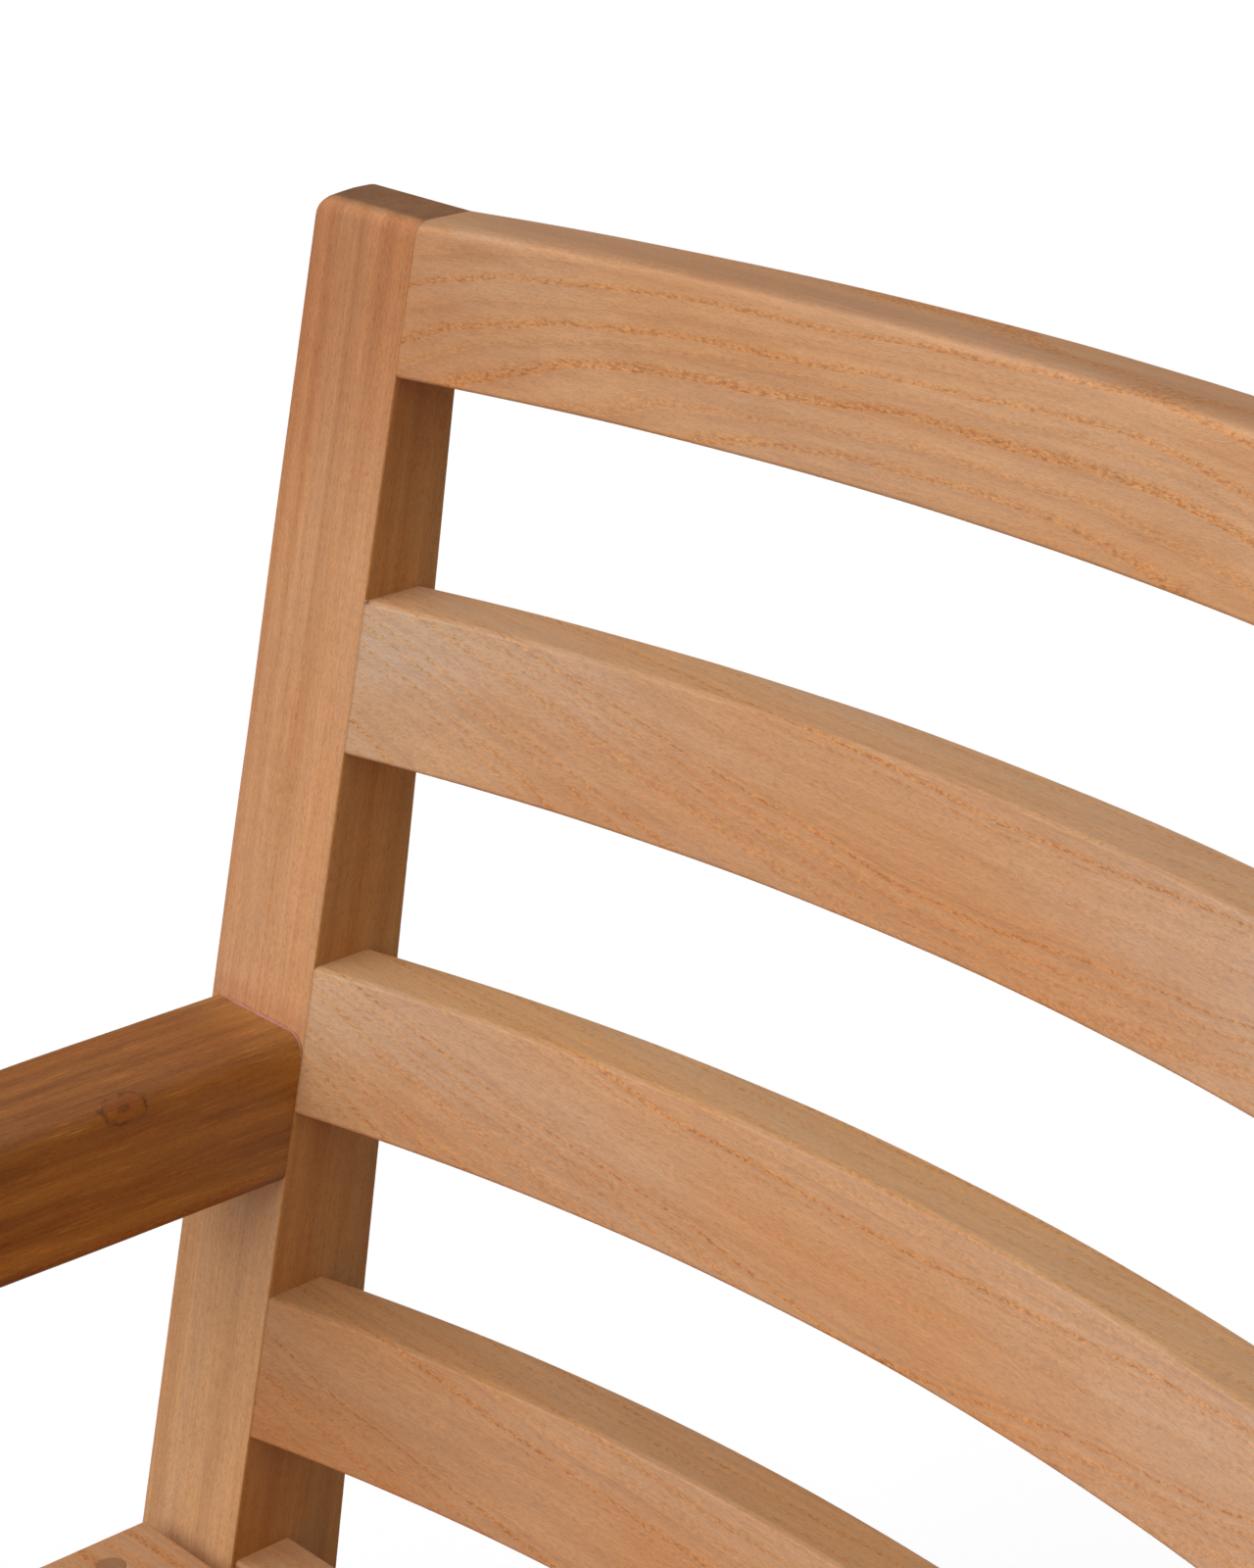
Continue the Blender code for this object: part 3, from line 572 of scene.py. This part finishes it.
def with_knot(s, colour, knot):
    """A small sound knot: a warm heart inside a thin dark ring, in a darker swirl of grain."""
    centre, size, along = knot
    turned = s.tree.nodes.new("ShaderNodeMapping")
    turned.vector_type = "TEXTURE"
    s.put(turned.inputs["Vector"], s.place)
    turned.inputs["Location"].default_value = centre
    turned.inputs["Rotation"].default_value = GRAIN_X.rotation_difference(along).to_euler()
    away = s.vector("MULTIPLY", turned.outputs[0], (0.62 / size, 1.0 / size, 1.0 / size))
    lumps = s.noise(s.place, (150.0, 150.0, 150.0), 4.0, 0.7)
    ragged = s.math("MULTIPLY", s.math("SUBTRACT", lumps, 0.5), 1.1)
    distance = s.math("ADD", s.vector("LENGTH", away), ragged)
    rim = s.math("MULTIPLY", s.remap(distance, 0.80, 0.98), s.remap(distance, 1.22, 1.0))
    patchy = s.remap(s.noise(s.place, (260.0, 260.0, 260.0), 2.0), 0.35, 0.65, 0.15, 0.8)
    colour = s.tint(colour, s.remap(distance, 2.6, 1.0, 0.0, 0.45), KNOT_SWIRL)
    colour = s.tint(colour, s.remap(distance, 0.95, 0.55, 0.0, 0.8), KNOT_BODY)
    colour = s.tint(colour, s.remap(distance, 0.42, 0.14, 0.0, 0.7), KNOT_HEART)
    return s.tint(colour, s.math("MULTIPLY", rim, patchy), KNOT_RIM)


def post_stain_light_and_shade(s, colour):
    """Posts are redder and darker outside and near the top, and carry painted shade on their inner faces,
    deeper low down. Their fronts are darker just above the arms, where glue was wiped off, and carry
    painted light just below them, lifting the shade of the arms."""
    from_middle = s.math("ABSOLUTE", s.axis(s.place, "X"))
    height = s.axis(s.place, "Z")
    front = s.remap(s.axis(s.normal, "Y"), -0.5, -0.9)
    outward = s.remap(from_middle, OUTER - 0.024, OUTER)
    top = s.remap(height, TOP_Z - 0.13, TOP_Z - 0.02)
    colour = s.tint(colour, outward, POST_OUTSIDE)
    colour = s.tint(colour, top, POST_TOP)
    # Painted light that lifts the shade under the arm
    lit_below_arm = s.math("MULTIPLY", front, s.remap(height, ARM_LOW.z + 0.002, ARM_LOW.z - 0.004))
    colour = s.tint(colour, lit_below_arm, POST_BELOW_ARM_LIGHT)
    above_arm = s.math("SUBTRACT", height, ARM_HIGH.z)
    wiped = s.math("MULTIPLY", s.remap(above_arm, -0.002, 0.0), s.remap(above_arm, 0.012, 0.001))
    colour = s.tint(colour, s.math("MULTIPLY", front, wiped), POST_WIPED)
    # Painted shade on the inner faces, which face away from the key light, deeper below the arms' height
    inside = s.remap(from_middle, INNER + 0.0008, INNER + 0.0002)
    low_inner_shade = s.math("MULTIPLY", inside, s.remap(height, 0.66, 0.58))
    colour = s.tint(colour, low_inner_shade, POST_INSIDE_LOW_SHADE)
    return s.tint(colour, inside, POST_INSIDE_SHADE)


def arm_stain(s, colour):
    """Arms are paler on top where they run into the posts."""
    near_post = s.remap(s.axis(s.place, "Y"), ARM_BACK_Y - 0.048, ARM_BACK_Y - 0.008)
    high = s.remap(s.axis(s.place, "Z"), ARM_HIGH.z - 0.030, ARM_HIGH.z - 0.006)
    return s.tint(colour, s.math("MULTIPLY", near_post, high), ARM_NEAR_POST)


def end_stain(tint, reach, joint, pale_z=None):
    """A rail's or slat's own tone where it runs into the posts. A slat is also paler above a height,
    and warmer in its middle."""
    def stain(s, colour):
        cloud = s.noise(s.place, (30.0, 30.0, 60.0), 2.0)
        wander = s.math("MULTIPLY", s.math("SUBTRACT", cloud, 0.5), 0.06)
        from_middle = s.math("ABSOLUTE", s.axis(s.place, "X"))
        near_end = s.remap(s.math("ADD", from_middle, wander), INNER - reach, INNER)
        upright = s.math("SUBTRACT", 1.0, s.upward())
        colour = s.tint(colour, s.math("MULTIPLY", near_end, upright), tint)
        if pale_z:
            height = s.math("MULTIPLY_ADD", wander, 0.3, s.axis(s.place, "Z"))
            high = s.remap(height, pale_z - 0.012, pale_z + 0.008)
            colour = s.tint(colour, s.math("MULTIPLY", high, upright), SLAT_HIGH)
            middle = s.remap(s.math("ADD", from_middle, wander), 0.15, 0.04)
            colour = s.tint(colour, s.math("MULTIPLY", middle, upright), SLAT_MIDDLE)
        return s.tint(colour, s.remap(from_middle, INNER - 0.0011, INNER - 0.0003), joint)
    return stain


def brushed_steel():
    s = Shader("screw_steel")
    lines = s.noise(s.place, (300.0, 300.0, 4000.0), 2.0)
    s.put(s.principled.inputs["Base Color"], s.mix(lines, STEEL_DARK, STEEL_PALE))
    s.principled.inputs["Metallic"].default_value = 1.0
    s.put(s.principled.inputs["Roughness"], s.math("MULTIPLY_ADD", lines, 0.2, 0.28))
    return s.material


# Timbers


def back_members():
    members = [("top_rail", 0.0, RAIL_HEIGHT)]
    members += [(name, drop, SLAT_HEIGHT) for name, drop in SLAT_DROPS.items()]
    return members


def joint_share(z, faded=0.0025):
    """1 where a rail or slat meets the post at this height, and 0 away from it."""
    share = 0.0
    for _, drop, height in back_members():
        high = TOP_Z - drop * math.cos(RAKE)
        low = TOP_Z - (drop + height) * math.cos(RAKE)
        inside = min(z - low, high - z)
        share = max(share, min(max(inside / faded + 1.0, 0.0), 1.0))
    return share


def knee_line(top_y, knee_y, foot_y):
    """Y of a post's front or back line at a height: two straight runs with a round knee."""
    upper = (top_y - knee_y) / (TOP_Z - KNEE_Z)
    lower = (knee_y - foot_y) / KNEE_Z
    reach = KNEE_RADIUS * (math.atan(upper) - math.atan(lower)) / 2

    def line(z):
        above = z - KNEE_Z
        if above >= reach:
            return knee_y + upper * above
        if above <= -reach:
            return knee_y + lower * above
        share = (above + reach) / (2 * reach)
        start = knee_y - lower * reach
        return start + 2 * reach * (lower * share + (upper - lower) * share * share / 2)

    return line


def post_lines():
    knee_drop = (TOP_Z - KNEE_Z) / math.cos(RAKE)
    front_knee, _ = slope_point(knee_drop, 0.0)
    front_foot = front_knee + KNEE_Z * math.tan(LEG_SPLAY)
    knee_depth = POST_TOP_DEPTH + POST_TAPER * knee_drop
    front = knee_line(BACK_TOP_Y, front_knee, front_foot)
    back = knee_line(BACK_TOP_Y + POST_TOP_DEPTH, front_knee + knee_depth, front_foot + FOOT_DEPTH)
    return front, back


def make_rear_post(side):
    name = "rear_post_" + SIDES[side]
    front, back = post_lines()

    def section(z):
        from_top = TOP_Z - z
        foot = end_inset(z, CRISP)
        low = (INNER + foot, front(z) + end_inset(from_top, TOP_EDGE) + foot)
        high = (OUTER - foot, back(z) - end_inset(from_top, BACK_EDGE) - foot)
        joined = joint_share(z)
        inner_front = CRISP + (FLUSH - CRISP) * joined
        inner_back = inner_front if from_top < RAIL_HEIGHT else CRISP
        return low, high, (inner_front, ARRIS, ARRIS, inner_back)

    def place(z, u, v):
        """The outer top corner is well rounded at the front, and less towards the back."""
        behind = (v - front(z)) / (back(z) - front(z))
        radius = POST_CORNER + (POST_BACK_CORNER - POST_CORNER) * min(behind * 1.6, 1.0)
        shrink = 1 - end_inset(TOP_Z - z, radius) / (OUTER - INNER)
        return Vector((side * (INNER + (u - INNER) * shrink), v, z))

    places = stations(0.0, TOP_Z, PITCH, CRISP, POST_CORNER)
    piece = loft(name, places, section, place, POST_SEED + side)
    weigh_normals(piece)
    along = Vector((0.0, math.sin(RAKE), math.cos(RAKE)))
    pith = (side * UPRIGHT_PITH_X, post_front_y(POST_PITH_Z) - 0.05, POST_PITH_Z)
    material = teak(name, POST_BASE, pith, along, ring=0.0034, warp=0.003, line=0.4, felt=1.25, flecks=0.60,
                    bands=0.95, figure=0.12, upper=POST_TOP_SHADE, brow=0.68, stain=post_stain_light_and_shade)
    return settle(piece, name, material)


def make_back_member(index, member):
    """The top rail, or one of the three slats under it: bowed backwards, and raked like the posts."""
    name, drop, height = member
    is_rail = index == 0

    def section(x):
        if not is_rail:
            return (0.0, 0.0), (SLAT_THICKNESS, height), (ARRIS, ARRIS, ARRIS, ARRIS)
        near_post = 1 - min((INNER - abs(x)) / RAIL_EDGE_FADE, 1.0)
        top = RAIL_MIDDLE_EDGE + (TOP_EDGE - RAIL_MIDDLE_EDGE) * near_post
        return (0.0, 0.0), (SLAT_THICKNESS, height), (top, RAIL_BACK_EDGE, ARRIS, ARRIS)

    def place(x, behind, down):
        y, z = slope_point(drop + down, behind + BOW * (1 - (x / INNER) ** 2))
        return Vector((x, y, z))

    places = stations(-INNER + CLOSE, INNER - CLOSE, PITCH)
    piece = loft(name, places, section, place, BACK_SEED + index)
    weigh_normals(piece)
    if is_rail:
        return settle(piece, name, rail_teak(name))
    return settle(piece, name, slat_teak(index, member))


def rail_teak(name):
    pith = (0.0, BACK_TOP_Y + 0.062, TOP_Z - 0.090)
    along = Vector((1.0, 0.01, 0.0))
    stain = end_stain(RAIL_ENDS, 0.080, RAIL_JOINT)
    return teak(name, RAIL_BASE, pith, along, ring=0.0052, warp=0.008, line=0.80, flecks=0.30,
                bands=0.6, upper=RAIL_TOP_SHADE, brow=0.60, stain=stain)


def slat_teak(index, member):
    """Each back slat is sawn a little differently, so its grain slants and runs its own way."""
    name, drop, height = member
    y, z = slope_point(drop + height, 0.0)
    pith = (0.0, y - 0.075 - 0.008 * index, z - 0.035)
    along = Vector((1.0, 0.02 * (index - 2), -0.07))
    # upper is the painted shade on the slat's top face
    own, tone, reach, upper = SLAT_TONES[name]
    pale_z = TOP_Z - (drop + 0.4 * height) * math.cos(RAKE)
    stain = end_stain(tone, reach, SLAT_JOINT, pale_z)
    return teak(name, tinted(SLAT_BASE, own), pith, along, ring=0.0036, warp=0.008, line=0.9,
                flecks=0.15, bands=0.5, upper=upper, stain=stain)


def make_arm(side):
    name = "arm_" + SIDES[side]
    front_y = ARM_LOW.y
    span = post_front_y(ARM_HIGH.z) - front_y

    def section(along):
        inset = end_inset(along, ARM_CORNER)
        lift = end_inset(along, ARM_FRONT_EDGE)
        low = (INNER + inset, ARM_LOW.z + lift)
        high = (OUTER - inset, ARM_HIGH.z - lift)
        return low, high, (ARM_LOW_EDGE, ARM_LOW_EDGE, ARM_TOP_EDGE, ARM_TOP_EDGE)

    def place(along, u, z):
        reach = post_front_y(z) - GAP / 2 - front_y
        return Vector((side * u, front_y + along * reach / span, z))

    piece = loft(name, stations(0.0, span, PITCH, ARM_CORNER), section, place, ARM_SEED + side)
    weigh_normals(piece)
    pith = (side * (OUTER + 0.02), 0.0, ARM_LOW.z - 0.045)
    knot = None
    if side == LEFT:
        knot = (KNOT_CENTRE, KNOT_SIZE, GRAIN_Y)
    material = teak(name, ARM_BASE, pith, GRAIN_Y, ring=0.0055, warp=0.008, line=0.6, felt=1.3, flecks=0.60,
                    bands=1.0, streaks=0.80, upper=ARM_TOP_SHADE, stain=arm_stain, knot=knot, roughness=0.52)
    return settle(piece, name, material)


def make_front_leg(side):
    name = "front_leg_" + SIDES[side]
    top = ARM_LOW.z - GAP / 2

    def section(z):
        foot = end_inset(z, ARRIS)
        low = (LEG_LOW.x + foot, LEG_LOW.y + foot)
        high = (LEG_HIGH.x - foot, LEG_HIGH.y - foot)
        return low, high, (ARRIS,) * 4

    def place(z, u, v):
        return Vector((side * u, v, z))

    piece = loft(name, stations(0.0, top, COARSE_PITCH, ARRIS), section, place, LEG_SEED + side)
    weigh_normals(piece)
    pith = (side * UPRIGHT_PITH_X, LEG_PITH_Y, LEG_PITH_Z)
    material = teak(name, POST_BASE, pith, GRAIN_Z, warp=0.005, line=0.6, flecks=0.6, bands=0.8)
    return settle(piece, name, material)


def make_side_rail(side):
    name = "side_seat_rail_" + SIDES[side]
    low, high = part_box("side_seat_rail_right")
    start = LEG_HIGH.y + GAP / 2
    span = post_front_y(high.z) - start

    def place(along, u, z):
        reach = post_front_y(z) - GAP / 2 - start
        return Vector((side * u, start + along * reach / span, z))

    def section(_):
        return (low.x, low.z), (high.x, high.z), (ARRIS,) * 4

    piece = loft(name, stations(0.0, span, COARSE_PITCH), section, place, SIDE_RAIL_SEED + side)
    weigh_normals(piece)
    material = teak(name, SEAT_BASE, (side * 0.22, 0.0, 0.30), GRAIN_Y)
    return settle(piece, name, material)


def make_box_timber(name, low, high, axis, pith, ends=0.0, seed=0.0):
    """A straight timber between two corners, along X or Y, with rounded ends where it has free ones."""
    other = 1 - axis
    start, end = low[axis], high[axis]

    def section(along):
        inset = end_inset(min(along - start, end - along), ends) if ends else 0.0
        near = (low[other] + inset, low[2] + inset)
        far = (high[other] - inset, high[2] - inset)
        return near, far, (ARRIS,) * 4

    def place(along, u, z):
        return Vector((along, u, z)) if axis == 0 else Vector((u, along, z))

    piece = loft(name, stations(start, end, COARSE_PITCH, ends, ends), section, place, seed)
    along = Vector((1.0, 0.0, 0.02)) if axis == 0 else GRAIN_Y
    return piece, teak(name, SEAT_BASE, pith, along)


def make_seat():
    """Front, rear and middle bearers, and the seat slats with their holes for the plugs."""
    for name in ("front_seat_rail", "rear_seat_rail"):
        low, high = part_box(name)
        low.x, high.x = -INNER + GAP / 2, INNER - GAP / 2
        pith = (0.0, low.y + 0.09, low.z - 0.04)
        piece, material = make_box_timber(name, low, high, 0, pith, seed=low.y * 50)
        weigh_normals(piece)
        settle(piece, name, material)
    low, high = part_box("seat_bearer")
    low.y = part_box("front_seat_rail")[1].y + GAP / 2
    high.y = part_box("rear_seat_rail")[0].y - GAP / 2
    piece, material = make_box_timber("seat_bearer", low, high, 1, (0.06, 0.0, 0.35))
    weigh_normals(piece)
    settle(piece, "seat_bearer", material)
    plug_teak = teak("plug_teak", PEG_BASE, (0.0, 0.05, 0.30), GRAIN_X)
    for index in range(1, SEAT_SLAT_COUNT + 1):
        make_seat_slat(index, plug_teak)


def plug_hole(screw):
    """The blind end and the open end of the hole over a screw."""
    low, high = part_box(screw)
    middle = (low + high) / 2
    top = Vector((middle.x, middle.y, SEAT_TOP_Z))
    return top - GRAIN_Z * PLUG_HOLE_DEPTH, top


def make_seat_slat(index, plug_teak):
    name = f"seat_slat_{index}"
    low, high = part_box(name)
    pith = (0.0, low.y + 0.03 * math.sin(index * 2.4), SEAT_TOP_Z - 0.055 - 0.02 * math.sin(index * 1.7))
    seed = SEAT_SLAT_SEED + index
    piece, material = make_box_timber(name, low, high, 0, pith, SEAT_SLAT_END, seed)
    holes = [plug_hole(f"seat_screw_{index}_{side}") for side in SIDES.values()]
    drill(piece, holes, PLUG_HOLE_RADIUS)
    weigh_normals(piece)
    settle(piece, name, material)
    for hole, side in zip(holes, SIDES.values()):
        make_plug(f"seat_plug_{index}_{side}", hole, plug_teak)


# Pegs and plugs


def circle(way, radius, count):
    """Points round a circle about the origin, square to a direction."""
    turn = GRAIN_Z.rotation_difference(way).to_matrix()
    angles = [2 * math.pi * i / count for i in range(count)]
    return [turn @ Vector((radius * math.cos(a), radius * math.sin(a), 0.0)) for a in angles]


def add_rod(bm, start, end, radius, chamfer=0.0):
    """A round rod, with its far end eased when it has a chamfer."""
    way = (end - start).normalized()
    profile = [(radius, 0.0), (radius, (end - start).length - chamfer)]
    if chamfer:
        profile.append((radius - chamfer, (end - start).length))
    rings = []
    for size, along in profile:
        ring = circle(way, size, ROD_SIDES)
        rings.append([bm.verts.new(start + way * along + point) for point in ring])
    skin(bm, rings)


def drill(piece, holes, radius):
    """Cuts round holes. Each is a pair: its blind end, and the end at the timber's face."""
    bm = bmesh.new()
    for start, end in holes:
        add_rod(bm, start, end + (end - start).normalized() * DRILL_OVERSHOOT, radius)
    cutter = finished(piece.name + "_drill", bm)
    modifier = piece.modifiers.new("Drill", "BOOLEAN")
    modifier.operation = "DIFFERENCE"
    modifier.solver = "EXACT"
    modifier.object = cutter
    with bpy.context.temp_override(object=piece, active_object=piece, selected_objects=[piece]):
        bpy.ops.object.modifier_apply(modifier=modifier.name)
    bpy.data.objects.remove(cutter, do_unlink=True)


def make_plug(name, hole, material):
    """A wooden plug over a screw head, sanded level with the seat."""
    bm = bmesh.new()
    start, end = hole
    add_rod(bm, start + GRAIN_Z * PLUG_LIFT, end + GRAIN_Z * PLUG_PROUD, PLUG_RADIUS, PLUG_CHAMFER)
    piece = finished(name, bm)
    piece.data.materials.append(material)
    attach(piece, "root")


def peg_axis(node):
    """Blind end, outer end and radius of a peg of the frame."""
    points = [vert.co.copy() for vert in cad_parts[node].data.vertices]
    centre = sum(points, Vector()) / len(points)
    far = max(points, key=lambda point: (point - centre).length)
    near_end = [p for p in points if (p - centre).dot(far - centre) < 0]
    far_end = [p for p in points if (p - centre).dot(far - centre) >= 0]
    near = sum(near_end, Vector()) / len(near_end)
    beyond = sum(far_end, Vector()) / len(far_end)
    radius = max((p - beyond).length for p in far_end)
    runs_outward = (beyond - near).dot(Vector((near.x, near.y, 0.0))) > 0
    return (near, beyond, radius) if runs_outward else (beyond, near, radius)


def make_pegs(side, timbers):
    material = teak("peg_teak_" + SIDES[side], PEG_BASE, (side * 0.3, 0.1, 0.5), GRAIN_Y)
    for host, tenons in PEG_HOSTS.items():
        holes = []
        for tenon in tenons:
            node = f"peg_{tenon}_{SIDES[side]}"
            start, end, radius = peg_axis(node)
            way = (end - start).normalized()
            holes.append((end - way * PEG_HOLE_DEPTH, end))
            bm = bmesh.new()
            add_rod(bm, end - way * PEG_LENGTH, end + way * PEG_PROUD, radius - PEG_PLAY, PEG_CHAMFER)
            settle(finished(node, bm), node, material)
        drill(timbers[host], holes, radius + PEG_HOLE_PLAY)


# Glue


def glue_material():
    s = Shader("dried_glue")
    lumps = s.noise(s.place, (700.0, 700.0, 700.0), 3.0, 0.6)
    s.put(s.principled.inputs["Base Color"], s.mix(lumps, GLUE_DARK, GLUE_LIGHT))
    s.put(s.principled.inputs["Roughness"], s.math("MULTIPLY_ADD", lumps, 0.2, 0.55))
    s.bump(lumps, 1.0, 0.0001)
    return s.material


def glue_bead(name, route, radius, material):
    """A thin uneven line of dried glue along a route of points, drawn out to nothing at its ends."""
    bm = bmesh.new()
    rings = []
    last = len(route) - 1
    for index, point in enumerate(route):
        way = (route[min(index + 1, last)] - route[max(index - 1, 0)]).normalized()
        taper = math.sin(math.pi * (index + 0.3) / (last + 0.6)) ** 0.35
        lumps = 1 + 0.9 * noise.noise(point * 330.0) + 0.5 * noise.noise(point * 900.0)
        ring = circle(way, radius * taper * lumps, GLUE_SIDES)
        rings.append([bm.verts.new(point + corner) for corner in ring])
    skin(bm, rings)
    piece = finished(name, bm)
    piece.data.materials.append(material)
    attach(piece, "root")


def arm_glue_profile():
    """(x, z) along the top of an arm's back end, from the outside inwards and round the inner edge."""
    radius = ARM_TOP_EDGE
    flat_steps = round((OUTER - INNER - 2 * radius) / ARM_GLUE_STEP)
    profile = [(OUTER - radius - ARM_GLUE_STEP * step, ARM_HIGH.z) for step in range(flat_steps)]
    for step in range(ARM_GLUE_ARC_STEPS + 1):
        angle = math.radians(90 * step / ARM_GLUE_ARC_STEPS)
        x = INNER + radius - radius * math.sin(angle)
        z = ARM_HIGH.z - radius + radius * math.cos(angle)
        profile.append((x, z))
    return profile


def make_glue():
    """Glue pressed out where the arms meet the posts, and a spot on the upper slat's left shoulder."""
    material = glue_material()
    profile = arm_glue_profile()
    for side in SIDES:
        route = [Vector((side * x, post_front_y(z) - 0.0003, z)) for x, z in profile]
        glue_bead("arm_glue_" + SIDES[side], route, ARM_GLUE_RADIUS, material)
    y, z = slope_point(SLAT_DROPS["back_slat_upper"], 0.0)
    route = [Vector((-INNER + SLAT_GLUE_STEP * step, y - 0.0002, z + 0.0001)) for step in range(-1, 5)]
    glue_bead("slat_glue", route, SLAT_GLUE_RADIUS, material)


# Screws


def dress_screws():
    """The screws are carried over from the frame as they are, in a steel of their own."""
    steel = brushed_steel()
    for name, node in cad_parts.items():
        if name.startswith("seat_screw"):
            node.data.materials.clear()
            node.data.materials.append(steel)


# Stage


def add_stage(name, bm):
    mesh = bpy.data.meshes.new(name)
    bm.to_mesh(mesh)
    bm.free()
    stage = bpy.data.objects.new(name, mesh)
    bpy.context.scene.collection.objects.link(stage)
    stage.visible_diffuse = False
    return stage


def make_floor():
    bm = bmesh.new()
    bmesh.ops.create_grid(bm, x_segments=1, y_segments=1, size=FLOOR_SIZE)
    floor = add_stage("floor", bm)
    s = Shader("floor")
    s.principled.inputs["Base Color"].default_value = FLOOR_COLOUR
    s.principled.inputs["Roughness"].default_value = 0.9
    s.principled.inputs["Specular IOR Level"].default_value = 0.1
    floor.data.materials.append(s.material)


def make_backdrop():
    """A plain white surround far away, which neither lights the chair nor shades it."""
    bm = bmesh.new()
    bmesh.ops.create_uvsphere(bm, u_segments=48, v_segments=24, radius=BACKDROP_RADIUS)
    backdrop = add_stage("backdrop", bm)
    backdrop.visible_glossy = False
    backdrop.visible_shadow = False
    s = Shader("backdrop")
    s.principled.inputs["Base Color"].default_value = BLACK
    s.principled.inputs["Specular IOR Level"].default_value = 0.0
    s.principled.inputs["Emission Color"].default_value = WHITE
    s.principled.inputs["Emission Strength"].default_value = 1.0
    backdrop.data.materials.append(s.material)


def soft_light(name, toward, strength, spread, colour):
    """Even light from one side of the studio, as from a wide diffuser."""
    light = bpy.data.lights.new(name, "SUN")
    light.energy = strength * math.pi
    light.angle = math.radians(spread)
    light.color = colour
    lamp = bpy.data.objects.new(name, light)
    lamp.rotation_euler = (-Vector(toward)).to_track_quat("-Z", "Y").to_euler()
    bpy.context.scene.collection.objects.link(lamp)


def make_lights():
    soft_light("key", toward=(-0.40, -0.82, 0.56), strength=0.68, spread=85.0, colour=(1.0, 1.0, 1.0))
    soft_light("top", toward=(0.0, 0.10, 1.0), strength=0.45, spread=100.0, colour=(0.99, 1.01, 1.12))
    soft_light("fill", toward=(0.74, -0.36, 0.50), strength=0.16, spread=80.0, colour=(1.0, 0.76, 0.34))
    world = bpy.data.worlds.new("studio")
    world.use_nodes = True
    world.node_tree.nodes["Background"].inputs["Color"].default_value = WORLD_COLOUR
    world.node_tree.nodes["Background"].inputs["Strength"].default_value = WORLD_STRENGTH
    bpy.context.scene.world = world


def make_camera():
    """Three-quarter view from the front right and above, close on the upper left corner of the back."""
    corner = Vector((-INNER, BACK_TOP_Y, TOP_Z))
    level = math.cos(CAMERA_ELEVATION)
    forward = Vector((
        -math.sin(CAMERA_AZIMUTH) * level,
        math.cos(CAMERA_AZIMUTH) * level,
        -math.sin(CAMERA_ELEVATION),
    ))
    data = bpy.data.cameras.new("camera")
    data.lens = CAMERA_LENS
    data.sensor_width = CAMERA_SENSOR
    data.clip_end = CAMERA_CLIP_END
    camera = bpy.data.objects.new("camera", data)
    camera.location = corner + Vector(CAMERA_FROM_CORNER)
    camera.rotation_mode = "QUATERNION"
    camera.rotation_quaternion = forward.to_track_quat("-Z", "Y")
    bpy.context.scene.collection.objects.link(camera)
    bpy.context.scene.camera = camera


def main():
    scene = bpy.context.scene
    scene.view_settings.view_transform = "Standard"
    make_camera()
    for side in SIDES:
        timbers = {
            "rear_post": make_rear_post(side),
            "arm": make_arm(side),
            "front_leg": make_front_leg(side),
        }
        make_side_rail(side)
        make_pegs(side, timbers)
    for index, member in enumerate(back_members()):
        make_back_member(index, member)
    make_seat()
    make_glue()
    dress_screws()
    make_floor()
    make_backdrop()
    make_lights()


main()
